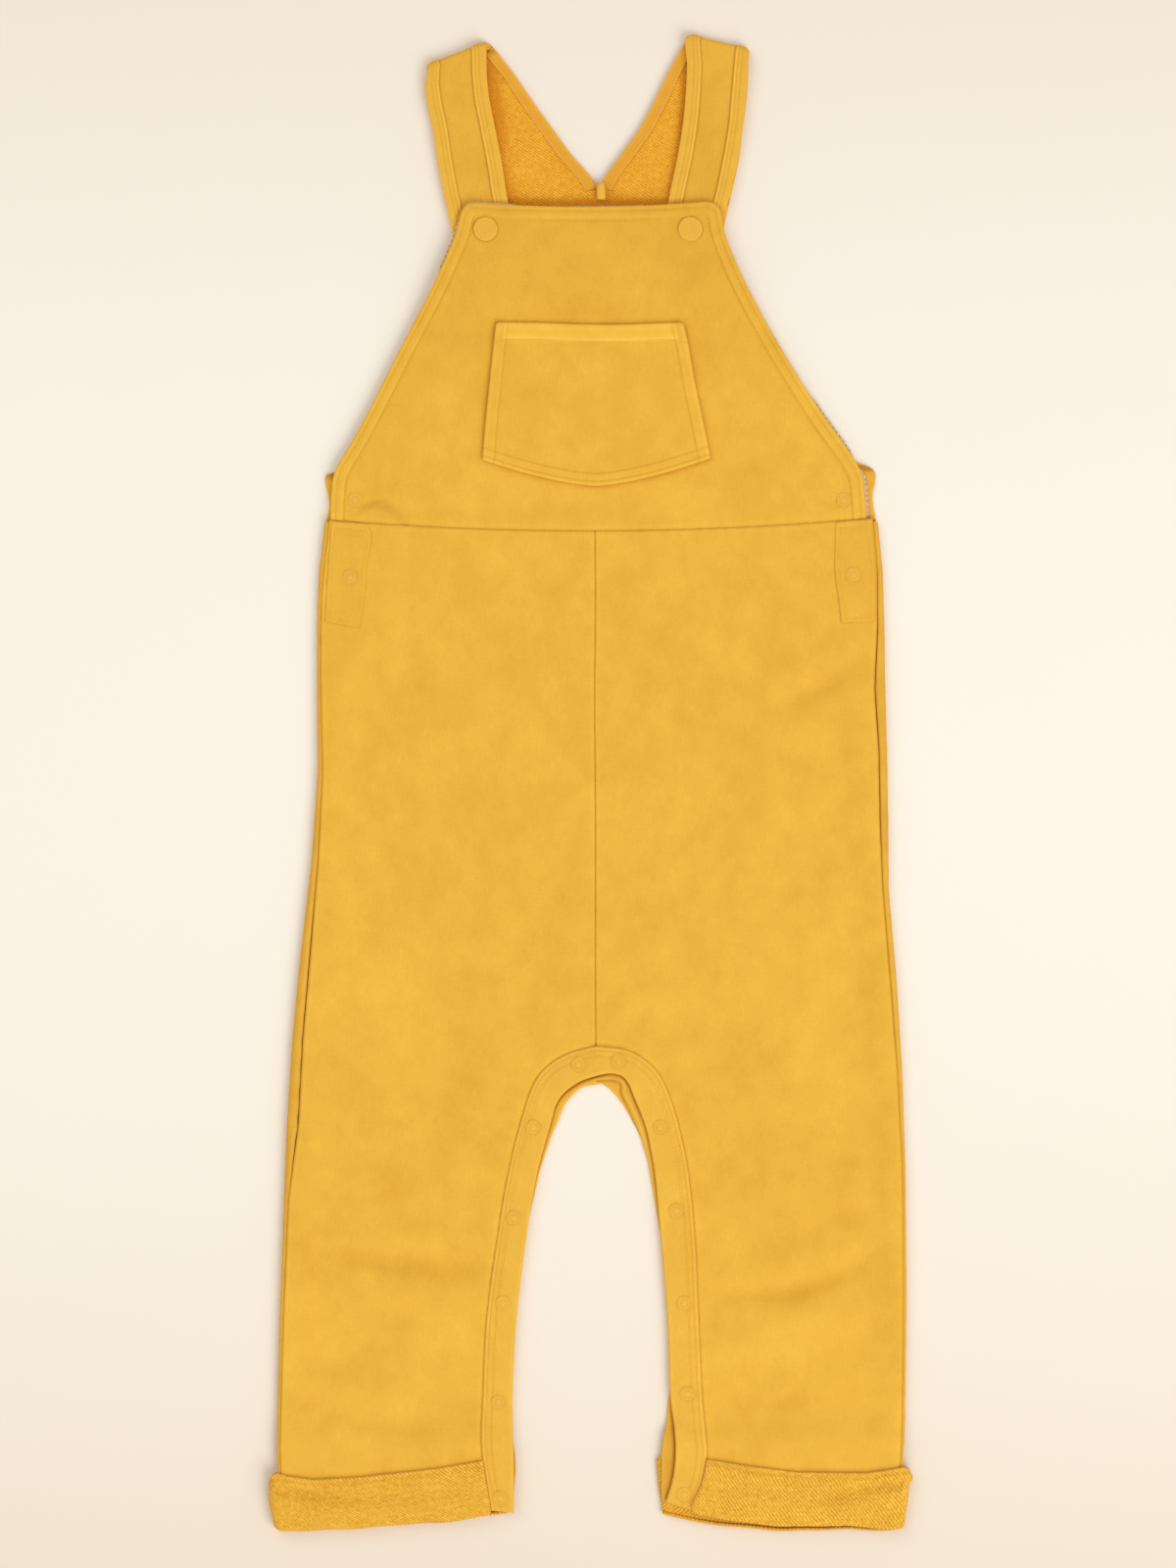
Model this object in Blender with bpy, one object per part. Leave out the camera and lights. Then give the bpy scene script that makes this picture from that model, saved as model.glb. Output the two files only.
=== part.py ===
"""Toddler dungarees in jersey, laid flat on their back with the cuffs turned up.

The tables and sizes are in millimetres and turn into metres where a wall is made.
X runs across the garment, Y from the leg ends to the straps, Z up from the floor.
Every panel is a closed wall of cloth, made from rows of point pairs: one point on its
lower face and one on its upper face.
"""
import math
from typing import NamedTuple

import bmesh
import bpy
from mathutils import Vector

MM = 0.001

# Cloth and fasteners
CLOTH = 1.6
FACING = 1.0
BAND = 2.2
TERRY = 1.8
SEAM_GAP = 0.3
TAB_THICKNESS = 1.2
BACK_CUFF = 1.6
STRAP_FOLD_RADIUS = 2.2
RING_SNAP_RADIUS = 3.6
STRAP_CAP_RADIUS = 6.15

# Widths of what is sewn along the edges
FACING_WIDTH = 7.0
FACING_SHOWS = 1.2
STRAP_HEM_WIDTH = 7.6
NECK_BAND_WIDTH = 7.4
NECK_BAND_SHARES = (0.66, 0.985)
POCKET_POINT_DEPTH = 12.6
POCKET_POINT_POWER = 1.5
POCKET_HEM_DEPTH = 8.2
POCKET_HEM_EXTRA = 0.6

# Heights of the layers over the floor
FRONT_LEVEL = CLOTH + SEAM_GAP
LINED_LEVEL = FRONT_LEVEL + FACING + SEAM_GAP
STRAP_TOP = FRONT_LEVEL + CLOTH
STRAP_LIFT = CLOTH + SEAM_GAP
CUFF_LIFT = CLOTH + SEAM_GAP
CUFF_HEIGHT = CUFF_LIFT + FRONT_LEVEL + CLOTH + SEAM_GAP + TERRY

# Where along the garment the layers rise, and over what length
WAIST_RISE_STARTS = 98.0
WAIST_RISE_REACH = 18.0
BIB_RISE_BELOW_TOP = 62.0
BIB_RISE_REACH = 32.0
FACING_RISE_BELOW_TOP = 40.0
FACING_RISE_REACH = 13.0
CUFF_LIFT_STARTS = -296.0
CUFF_LIFT_REACH = 14.0
SIDE_SLOPE = 16.0

# The ends of the legs' panels, and how far the seams sag in their middle
LEG_TOP = 118.0
CROTCH_LEVEL = -135.0
LEG_END = -346.0
CUFF_BAND_TOP = -318.0
CUFF_BAND_END = -342.0
CUFF_LEAN = 2.6
WAIST_SAG = 5.4
BIB_TOP_SAG = 2.2

# The middle of the garment's box, which becomes the origin
BOX_CENTRE_X = 0.70
BOX_CENTRE_Y = 0.16

MUSTARD = (0.83, 0.45, 0.055)
MUSTARD_DEEP = (0.80, 0.41, 0.045)
TERRY_INSIDE = (0.72, 0.32, 0.035)
PALE_FACING = (0.74, 0.62, 0.50)
SNAP_COAT = (0.84, 0.46, 0.06)


class Section(NamedTuple):
    """One section across a panel, from its left edge to its right edge."""

    left_x: float
    left_y: float
    right_x: float
    right_y: float


class Spot(NamedTuple):
    """One spot on a cut edge."""

    x: float
    y: float


class Side(NamedTuple):
    """One section through a leg's rolled side, measured outwards from the middle."""

    y: float
    outline: float
    seam: float
    roll: float
    shelf: float


class Hem(NamedTuple):
    """One section through a turned-up cuff, measured outwards from the middle."""

    out: float
    top: float
    front_end: float
    back_end: float


class CuffEdge(NamedTuple):
    """How far out a turned-up cuff reaches, at a share of its height from the top."""

    share: float
    out: float


class Reveal(NamedTuple):
    """How far the back band shows past the front band at one height, on each leg."""

    y: float
    left: float
    right: float


class Fold(NamedTuple):
    """One soft ridge in the front of a leg."""

    x: float
    y: float
    turn: float
    half_length: float
    half_width: float
    height: float


class Snap(NamedTuple):
    """One snap, by the piece that it is pressed into."""

    name: str
    x: float
    y: float


BACK_LEFT = (
    Section(-123.4, 118.5, 2.6, 118.5),
    Section(-121.9, 125.6, 2.6, 126.0),
    Section(-122.4, 132.9, 2.6, 133.0),
    Section(-123.4, 138.5, 2.6, 139.0),
    Section(-123.4, 143.8, 2.6, 144.0),
    Section(-119.6, 145.6, 2.6, 148.0),
    Section(-116.0, 148.8, 2.6, 152.0),
    Section(-107.0, 161.0, 2.7, 166.0),
    Section(-90.0, 195.0, 2.8, 196.0),
    Section(-70.0, 236.0, 3.0, 236.0),
    Section(-63.5, 255.0, 3.3, 258.0),
    Section(-66.5, 271.0, 3.8, 275.0),
    Section(-69.0, 281.0, 1.2, 283.6),
    Section(-71.2, 294.0, -8.0, 294.2),
    Section(-73.0, 306.0, -16.6, 306.0),
    Section(-76.0, 319.0, -26.0, 319.0),
    Section(-77.2, 328.0, -34.3, 331.5),
)
FRONT_STRAP_LEFT = (
    Section(-77.0, 327.0, -48.2, 334.0),
    Section(-75.8, 318.0, -46.9, 322.0),
    Section(-73.2, 306.0, -44.2, 308.0),
    Section(-71.0, 291.5, -41.0, 291.5),
    Section(-68.3, 277.0, -38.5, 275.5),
    Section(-65.0, 263.0, -35.6, 262.0),
    Section(-61.8, 249.0, -32.6, 248.0),
)
FOLD_LEFT = Section(-76.9, 336.6, -46.4, 348.8)
BACK_RIGHT = (
    Section(3.2, 118.5, 134.8, 118.5),
    Section(3.2, 127.0, 133.4, 127.0),
    Section(3.2, 134.0, 133.1, 134.0),
    Section(3.2, 141.0, 134.3, 141.0),
    Section(3.2, 146.0, 134.2, 145.6),
    Section(3.2, 149.0, 131.6, 148.0),
    Section(3.2, 152.0, 126.6, 149.9),
    Section(3.2, 155.0, 122.6, 152.0),
    Section(3.3, 167.0, 109.0, 164.5),
    Section(3.4, 196.0, 90.0, 195.0),
    Section(3.6, 236.0, 70.5, 236.0),
    Section(3.9, 258.0, 63.5, 255.0),
    Section(4.4, 275.0, 65.5, 271.0),
    Section(6.8, 283.0, 68.0, 281.0),
    Section(14.6, 294.0, 70.6, 294.0),
    Section(23.2, 306.0, 72.0, 306.0),
    Section(30.6, 319.5, 73.8, 319.0),
    Section(37.0, 333.0, 74.8, 331.0),
)
FRONT_STRAP_RIGHT = (
    Section(46.1, 338.0, 74.6, 334.0),
    Section(45.4, 324.0, 73.5, 321.0),
    Section(44.0, 309.0, 72.3, 308.0),
    Section(41.3, 292.5, 69.6, 292.0),
    Section(38.0, 277.0, 66.5, 277.5),
    Section(35.4, 262.0, 62.8, 263.0),
    Section(32.8, 248.0, 59.8, 249.0),
)
FOLD_RIGHT = Section(45.8, 351.4, 75.8, 344.4)

BIB = (
    Section(-121.2, 123.3, 130.0, 124.0),
    Section(-120.8, 134.0, 129.3, 134.0),
    Section(-119.2, 145.8, 127.6, 145.4),
    Section(-111.4, 159.5, 120.8, 157.0),
    Section(-102.7, 175.5, 108.0, 175.0),
    Section(-88.8, 203.0, 90.5, 203.0),
    Section(-74.2, 231.0, 75.0, 231.0),
    Section(-65.4, 250.0, 66.2, 250.5),
    Section(-61.5, 260.5, 62.9, 260.5),
    Section(-60.0, 267.2, 61.8, 267.5),
    Section(-57.2, 271.0, 59.2, 271.4),
    Section(-53.0, 271.9, 54.5, 272.4),
)
BIB_TOP_Y = BIB[-1].left_y
POCKET = (
    Section(-50.0, 151.4, 57.0, 152.2),
    Section(-48.6, 168.0, 53.6, 169.0),
    Section(-46.6, 188.0, 49.6, 188.0),
    Section(-44.8, 205.0, 46.6, 205.0),
    Section(-43.6, 215.8, 44.4, 215.4),
)
TAB_LEFT = (
    Section(-123.8, 75.4, -107.4, 72.6),
    Section(-123.0, 90.0, -105.0, 87.5),
    Section(-122.2, 103.0, -104.0, 102.0),
    Section(-121.4, 114.0, -102.0, 114.6),
    Section(-120.8, 122.6, -103.0, 121.4),
)
TAB_RIGHT = (
    Section(118.2, 75.0, 133.6, 75.4),
    Section(117.0, 86.0, 134.2, 86.0),
    Section(115.2, 99.0, 134.2, 99.0),
    Section(115.2, 110.0, 133.6, 110.0),
    Section(115.6, 122.6, 131.8, 123.2),
)
NECK_LOOP = (
    Section(3.6, 273.4, 8.0, 273.4),
    Section(3.4, 281.6, 7.6, 281.8),
)

CENTRE_SEAM = (
    Spot(2.8, 117.8),
    Spot(3.0, 82.5),
    Spot(2.6, 40.0),
    Spot(3.0, -16.0),
    Spot(3.0, -86.5),
    Spot(3.2, -123.2),
)
BAND_OUTER_LEFT = (
    Spot(3.2, -123.2),
    Spot(-8.5, -126.2),
    Spot(-18.5, -131.8),
    Spot(-26.0, -141.0),
    Spot(-31.8, -158.0),
    Spot(-38.0, -183.0),
    Spot(-43.2, -214.0),
    Spot(-48.0, -249.5),
    Spot(-49.8, -285.0),
    Spot(-50.4, -312.0),
    Spot(-46.2, -341.0),
)
BAND_OUTER_RIGHT = (
    Spot(3.2, -123.2),
    Spot(17.0, -124.8),
    Spot(26.0, -129.5),
    Spot(33.6, -137.5),
    Spot(40.2, -154.0),
    Spot(46.2, -180.0),
    Spot(49.6, -212.0),
    Spot(51.2, -245.0),
    Spot(53.0, -285.0),
    Spot(54.6, -304.0),
    Spot(55.4, -315.0),
    Spot(53.4, -327.0),
    Spot(48.0, -341.0),
)
BAND_INNER_LEFT = (
    Spot(3.8, -137.2),
    Spot(-3.0, -139.4),
    Spot(-9.0, -143.0),
    Spot(-13.2, -147.0),
    Spot(-15.8, -151.6),
    Spot(-17.2, -156.6),
    Spot(-19.8, -166.0),
    Spot(-24.6, -184.0),
    Spot(-29.2, -212.0),
    Spot(-34.0, -252.0),
    Spot(-35.8, -285.0),
    Spot(-35.7, -302.0),
    Spot(-35.3, -316.0),
    Spot(-35.2, -342.0),
)
BAND_INNER_RIGHT = (
    Spot(3.8, -137.2),
    Spot(9.0, -136.2),
    Spot(13.2, -136.6),
    Spot(16.4, -138.2),
    Spot(18.8, -141.6),
    Spot(21.0, -147.0),
    Spot(26.2, -160.0),
    Spot(28.8, -171.0),
    Spot(31.0, -184.0),
    Spot(33.2, -208.0),
    Spot(36.8, -252.0),
    Spot(37.9, -285.0),
    Spot(40.2, -304.0),
    Spot(40.5, -316.0),
    Spot(39.0, -327.0),
    Spot(36.0, -337.0),
)
BACK_BAND = (
    Reveal(-136.0, 4.4, 8.4),
    Reveal(-136.5, 4.3, 9.9),
    Reveal(-137.5, 4.0, 11.6),
    Reveal(-139.3, 3.1, 11.5),
    Reveal(-141.6, 3.6, 10.4),
    Reveal(-144.0, 4.4, 9.2),
    Reveal(-147.0, 5.3, 7.9),
    Reveal(-150.0, 6.0, 7.1),
    Reveal(-153.0, 5.6, 6.5),
    Reveal(-156.0, 4.6, 5.9),
    Reveal(-161.0, 3.3, 5.1),
    Reveal(-166.0, 2.6, 4.5),
    Reveal(-174.0, 2.1, 3.3),
    Reveal(-184.0, 1.5, 2.8),
    Reveal(-193.0, 1.0, 1.9),
    Reveal(-200.0, 0.4, 1.2),
    Reveal(-206.0, -0.1, 0.7),
    Reveal(-215.0, -0.4, -0.4),
    Reveal(-283.0, -0.4, -0.4),
    Reveal(-294.0, -0.4, 2.0),
    Reveal(-300.0, -0.4, 3.4),
    Reveal(-308.0, -0.2, 6.0),
    Reveal(-316.0, 0.7, 6.8),
    Reveal(-322.0, 0.9, 6.2),
    Reveal(-330.0, 0.2, 4.6),
    Reveal(-337.0, -0.4, 2.0),
)
BACK_BAND_SIDES = (5.0, 13.0)

SIDE_LEFT = (
    Side(118.0, 123.8, 121.4, 4.8, 24.0),
    Side(98.0, 126.6, 123.4, 4.8, 24.0),
    Side(72.0, 127.5, 124.6, 4.8, 24.0),
    Side(50.0, 127.5, 124.8, 5.4, 4.0),
    Side(5.0, 127.2, 124.6, 5.6, 3.0),
    Side(-35.0, 130.0, 126.6, 5.6, 3.0),
    Side(-85.0, 135.8, 130.6, 5.6, 3.0),
    Side(-120.0, 139.2, 133.7, 5.6, 3.0),
    Side(-160.0, 141.7, 135.8, 5.6, 3.0),
    Side(-195.0, 143.0, 140.6, 5.4, 3.0),
    Side(-250.0, 145.0, 143.0, 5.2, 3.0),
    Side(-300.0, 146.2, 144.4, 4.6, 3.0),
    Side(-314.0, 146.2, 144.6, 3.6, 3.0),
    Side(-348.0, 144.8, 143.2, 3.5, 3.0),
)
SIDE_RIGHT = (
    Side(118.0, 135.4, 132.6, 4.8, 24.0),
    Side(98.0, 137.8, 134.8, 4.8, 24.0),
    Side(72.0, 138.6, 134.8, 4.8, 24.0),
    Side(45.0, 139.0, 133.4, 5.4, 4.0),
    Side(15.0, 139.8, 135.4, 5.6, 3.0),
    Side(-20.0, 140.4, 136.0, 5.6, 3.0),
    Side(-50.0, 140.6, 137.4, 5.6, 3.0),
    Side(-94.0, 144.4, 141.0, 5.6, 3.0),
    Side(-137.0, 147.0, 144.4, 5.6, 3.0),
    Side(-180.0, 148.4, 146.6, 5.4, 3.0),
    Side(-240.0, 149.0, 147.2, 5.2, 3.0),
    Side(-300.0, 148.2, 146.6, 4.6, 3.0),
    Side(-314.0, 147.6, 146.0, 3.6, 3.0),
    Side(-348.0, 145.4, 143.8, 3.5, 3.0),
)

CUFF_LEFT = (
    Hem(35.8, -316.4, -342.0, -342.4),
    Hem(50.0, -317.4, -343.2, -344.0),
    Hem(70.5, -321.0, -346.4, -347.4),
    Hem(106.0, -325.0, -348.6, -349.2),
    Hem(129.0, -326.4, -350.2, -351.0),
    Hem(141.0, -324.6, -351.0, -351.4),
    Hem(145.6, -323.4, -350.8, -351.0),
    Hem(148.6, -323.8, -349.4, -349.6),
    Hem(150.2, -326.4, -347.0, -347.2),
)
CUFF_RIGHT = (
    Hem(31.8, -315.4, -341.0, -341.6),
    Hem(36.4, -315.4, -341.0, -343.6),
    Hem(47.4, -315.6, -341.4, -346.0),
    Hem(57.0, -317.0, -344.4, -348.2),
    Hem(72.5, -319.6, -346.6, -349.6),
    Hem(98.0, -322.8, -348.2, -350.6),
    Hem(130.5, -323.2, -348.8, -350.6),
    Hem(142.0, -321.4, -349.6, -350.4),
    Hem(147.4, -320.4, -349.0, -349.6),
    Hem(150.6, -321.4, -347.4, -347.8),
    Hem(151.8, -323.8, -346.0, -346.2),
)
CUFF_EDGE_LEFT = (
    CuffEdge(0.0, 150.1),
    CuffEdge(0.5, 150.2),
    CuffEdge(1.0, 147.9),
)
CUFF_EDGE_RIGHT = (
    CuffEdge(0.0, 151.6),
    CuffEdge(0.14, 151.7),
    CuffEdge(0.32, 150.2),
    CuffEdge(0.65, 149.4),
    CuffEdge(1.0, 147.9),
)

FOLDS_LEFT = (
    Fold(-92.0, -214.0, 2.0, 34.0, 8.0, 1.5),
    Fold(-96.0, -238.0, -6.0, 38.0, 9.0, 1.7),
    Fold(-70.0, -186.0, 18.0, 26.0, 9.0, 0.9),
    Fold(-100.0, -282.0, 5.0, 32.0, 10.0, 0.8),
    Fold(-62.0, 52.0, 76.0, 44.0, 22.0, 0.8),
    Fold(-72.0, -60.0, 62.0, 52.0, 26.0, 1.0),
)
FOLDS_RIGHT = (
    Fold(92.0, -226.0, 14.0, 36.0, 8.0, 1.5),
    Fold(98.0, -252.0, 12.0, 38.0, 9.0, 1.6),
    Fold(102.0, -286.0, -4.0, 30.0, 9.0, 0.8),
    Fold(112.0, 36.0, 32.0, 24.0, 8.0, 1.0),
    Fold(104.0, 58.0, 28.0, 20.0, 7.0, 0.8),
    Fold(70.0, -50.0, 112.0, 54.0, 26.0, 1.0),
)

RING_SNAPS = (
    Snap("bib_left", -109.5, 132.5),
    Snap("bib_right", 119.5, 132.5),
    Snap("tab_left", -112.0, 96.5),
    Snap("tab_right", 124.0, 97.5),
    Snap("inseam_left_1", -5.0, -132.0),
    Snap("inseam_left_2", -26.0, -161.5),
    Snap("inseam_left_3", -35.2, -204.0),
    Snap("inseam_left_4", -40.2, -244.0),
    Snap("inseam_left_5", -42.4, -290.5),
    Snap("inseam_left_6", -41.6, -335.0),
    Snap("inseam_right_1", 13.8, -130.6),
    Snap("inseam_right_2", 33.4, -161.5),
    Snap("inseam_right_3", 41.0, -200.5),
    Snap("inseam_right_4", 44.6, -244.0),
    Snap("inseam_right_5", 46.2, -286.5),
    Snap("inseam_right_6", 44.6, -333.5),
)
STRAP_CAPS = (
    Snap("left", -48.5, 259.5),
    Snap("right", 47.5, 259.5),
)

# Outlines of the turned snaps, as shares of the radius and as heights
RING_PROFILE = ((0.0, 0.0), (1.0, 0.0), (1.0, 0.6), (0.84, 1.25), (0.66, 1.15), (0.56, 0.6), (0.0, 0.7))
CAP_PROFILE = ((0.0, 0.0), (1.0, 0.0), (1.0, 0.7), (0.86, 1.45), (0.5, 1.9), (0.0, 2.0))

# How finely the panels are divided
LEG_ROWS_TO_CROTCH = 8
LEG_ROW_SHARES = (
    0.0, 0.03, 0.065, 0.105, 0.15, 0.2, 0.26, 0.33, 0.41, 0.5, 0.59, 0.67, 0.745, 0.81, 0.875, 1.0
)
BACK_SHARES = (
    0.0, 0.04, 0.075, 0.105, 0.12, 0.14, 0.165, 0.21, 0.27, 0.33, 0.39, 0.45, 0.51, 0.57, 0.63, 0.69,
    0.75, 0.81, 0.87, 0.93, 1.0
)
LEG_COLUMNS = 8
BACK_LEG_COLUMNS = 5
ROLL_STEPS = 4
CUFF_STEPS = 6
BIB_COLUMNS = 16
BIB_ROWS = 14
BIB_ROW_POWER = 1.25
POCKET_COLUMNS = 8
POCKET_HEM_SHARES = (0.87, 0.88)
POCKET_ROWS = 7
STRAP_ROWS = 9
STRIP_PARTS = (0.04, 0.5, 1.0)
ACROSS_PARTS = (0.0, 0.5, 1.0)
CUFF_ROWS = (0.0, 0.14, 0.32, 0.65, 1.0)
SNAP_SIDES = 12
CAP_SIDES = 16


def clear_scene():
    """Remove whatever the open file holds."""
    for item in list(bpy.data.objects):
        bpy.data.objects.remove(item, do_unlink=True)


def ease(share):
    """Return a smooth step from 0 to 1."""
    share = min(1.0, max(0.0, share))
    return share * share * (3.0 - 2.0 * share)


def mix(start, end, share):
    """Return the value between two ends."""
    return start + (end - start) * share


def read_table(rows, key, column, value):
    """Read a column of a table at a value of its key column, with straight steps."""
    ordered = sorted(rows, key=lambda row: getattr(row, key))
    value = min(getattr(ordered[-1], key), max(getattr(ordered[0], key), value))
    for low, high in zip(ordered, ordered[1:]):
        if value <= getattr(high, key):
            span = getattr(high, key) - getattr(low, key)
            return mix(getattr(low, column), getattr(high, column), (value - getattr(low, key)) / span)
    return getattr(ordered[-1], column)


def smooth_points(points, steps=8):
    """Return a close run of points on a curve that passes through the given points."""
    ends = [points[0] * 2 - points[1], *points, points[-1] * 2 - points[-2]]
    run = []
    for before, start, end, after in zip(ends, ends[1:], ends[2:], ends[3:]):
        for step in range(steps):
            t = step / steps
            run.append(
                0.5
                * (
                    start * 2
                    + (end - before) * t
                    + (before * 2 - start * 5 + end * 4 - after) * t**2
                    + (start * 3 - before - end * 3 + after) * t**3
                )
            )
    return run + [points[-1]]


class Edge:
    """A cut edge: a smooth line that is read by the share of its length."""

    def __init__(self, points):
        self.points = smooth_points([Vector(point) for point in points])
        self.reach = [0.0]
        for start, end in zip(self.points, self.points[1:]):
            self.reach.append(self.reach[-1] + (end - start).length)

    def at(self, share):
        """Return the point at a share of the edge's length."""
        target = min(1.0, max(0.0, share)) * self.reach[-1]
        for index in range(1, len(self.reach)):
            if target <= self.reach[index]:
                span = self.reach[index] - self.reach[index - 1]
                part = (target - self.reach[index - 1]) / span
                return self.points[index - 1].lerp(self.points[index], part)
        return self.points[-1].copy()


def left_edge(sections):
    """Return the left edge of a table of sections."""
    return Edge([(row.left_x, row.left_y) for row in sections])


def right_edge(sections):
    """Return the right edge of a table of sections."""
    return Edge([(row.right_x, row.right_y) for row in sections])


def make_material(name, colour, roughness):
    """Make a plain finish."""
    material = bpy.data.materials.new(name)
    material.use_nodes = True
    shader = material.node_tree.nodes["Principled BSDF"]
    shader.inputs["Base Color"].default_value = (*colour, 1.0)
    shader.inputs["Roughness"].default_value = roughness
    shader.inputs["Metallic"].default_value = 0.0
    return material


def add_object(name, mesh, material):
    """Put a finished bmesh into the scene as a named object, in metres."""
    bmesh.ops.translate(mesh, verts=mesh.verts, vec=(-BOX_CENTRE_X, -BOX_CENTRE_Y, 0.0))
    bmesh.ops.scale(mesh, verts=mesh.verts, vec=(MM, MM, MM))
    bmesh.ops.recalc_face_normals(mesh, faces=mesh.faces)
    data = bpy.data.meshes.new(name)
    mesh.to_mesh(data)
    mesh.free()
    data.shade_smooth()
    data.set_sharp_from_angle(angle=math.radians(40))
    data.materials.append(material)
    item = bpy.data.objects.new(name, data)
    bpy.context.collection.objects.link(item)
    return item


def make_wall(name, material, rows):
    """Make one closed wall of cloth from rows of (lower, upper) point pairs."""
    columns = len(rows[0]) - 1
    steps = len(rows) - 1
    mesh = bmesh.new()
    bmesh.ops.create_grid(mesh, x_segments=columns, y_segments=steps, size=0.5)
    lower = list(mesh.verts)
    copied = bmesh.ops.extrude_face_region(mesh, geom=mesh.faces[:])
    upper = [item for item in copied["geom"] if isinstance(item, bmesh.types.BMVert)]
    for layer, verts in enumerate((lower, upper)):
        for vert in verts:
            column = round((vert.co.x + 0.5) * columns)
            row = round((vert.co.y + 0.5) * steps)
            vert.co = rows[row][column][layer]
    return add_object(name, mesh, material)


def raised(point, bottom, thickness):
    """Return the (lower, upper) pair over a point of the plan."""
    return Vector((point.x, point.y, bottom)), Vector((point.x, point.y, bottom + thickness))


def ruled_plan(left, right, columns, shares):
    """Return rows of plan points between two edges."""
    rows = []
    for share in shares:
        start = left.at(share)
        end = right.at(share)
        rows.append([start.lerp(end, column / columns) for column in range(columns + 1)])
    return rows


def even_shares(count):
    """Return evenly spaced shares from 0 to 1."""
    return [step / count for step in range(count + 1)]


def bend_end(plan, curve, reach, last):
    """Bring a plan's first or last row onto a curve y(x); rows within reach follow."""
    order = plan[::-1] if last else plan
    for column, end in enumerate([point.copy() for point in order[0]]):
        shift = curve(end.x) - end.y
        for row in order:
            away = abs(row[column].y - end.y)
            row[column].y += shift * (1.0 - ease(away / reach))


def waist_seam(x):
    """Return the waist seam's height up the garment, which sags towards the middle."""
    share = (x - BIB[0].left_x) / (BIB[0].right_x - BIB[0].left_x)
    ends = mix(BIB[0].left_y, BIB[0].right_y, share)
    return ends - WAIST_SAG * 4.0 * share * (1.0 - share)


def bib_top(x):
    """Return the bib's top edge, which sags a little between the straps."""
    share = (x - BIB[-1].left_x) / (BIB[-1].right_x - BIB[-1].left_x)
    ends = mix(BIB[-1].left_y, BIB[-1].right_y, share)
    return ends - BIB_TOP_SAG * 4.0 * share * (1.0 - share)


def bib_level(y):
    """Return how high the bib lies: over the facing, and higher where it covers the straps."""
    return LINED_LEVEL + STRAP_LIFT * ease((y - BIB_TOP_Y + BIB_RISE_BELOW_TOP) / BIB_RISE_REACH)


def facing_level(y):
    """Return how high the bib's facing lies: over the back, and then over the straps."""
    return FRONT_LEVEL + STRAP_LIFT * ease((y - BIB_TOP_Y + FACING_RISE_BELOW_TOP) / FACING_RISE_REACH)


def cuff_lift(y):
    """Return how far a leg is lifted off the floor by the cuff's back layer."""
    return CUFF_LIFT * ease((CUFF_LIFT_STARTS - y) / CUFF_LIFT_REACH)


def fold_height(folds, x, y):
    """Return the height of the soft ridges at a point of a leg."""
    height = 0.0
    for fold in folds:
        turn = math.radians(fold.turn)
        along = (x - fold.x) * math.cos(turn) + (y - fold.y) * math.sin(turn)
        across = (y - fold.y) * math.cos(turn) - (x - fold.x) * math.sin(turn)
        height += fold.height * math.exp(-((along / fold.half_length) ** 2) - (across / fold.half_width) ** 2)
    return height


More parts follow.
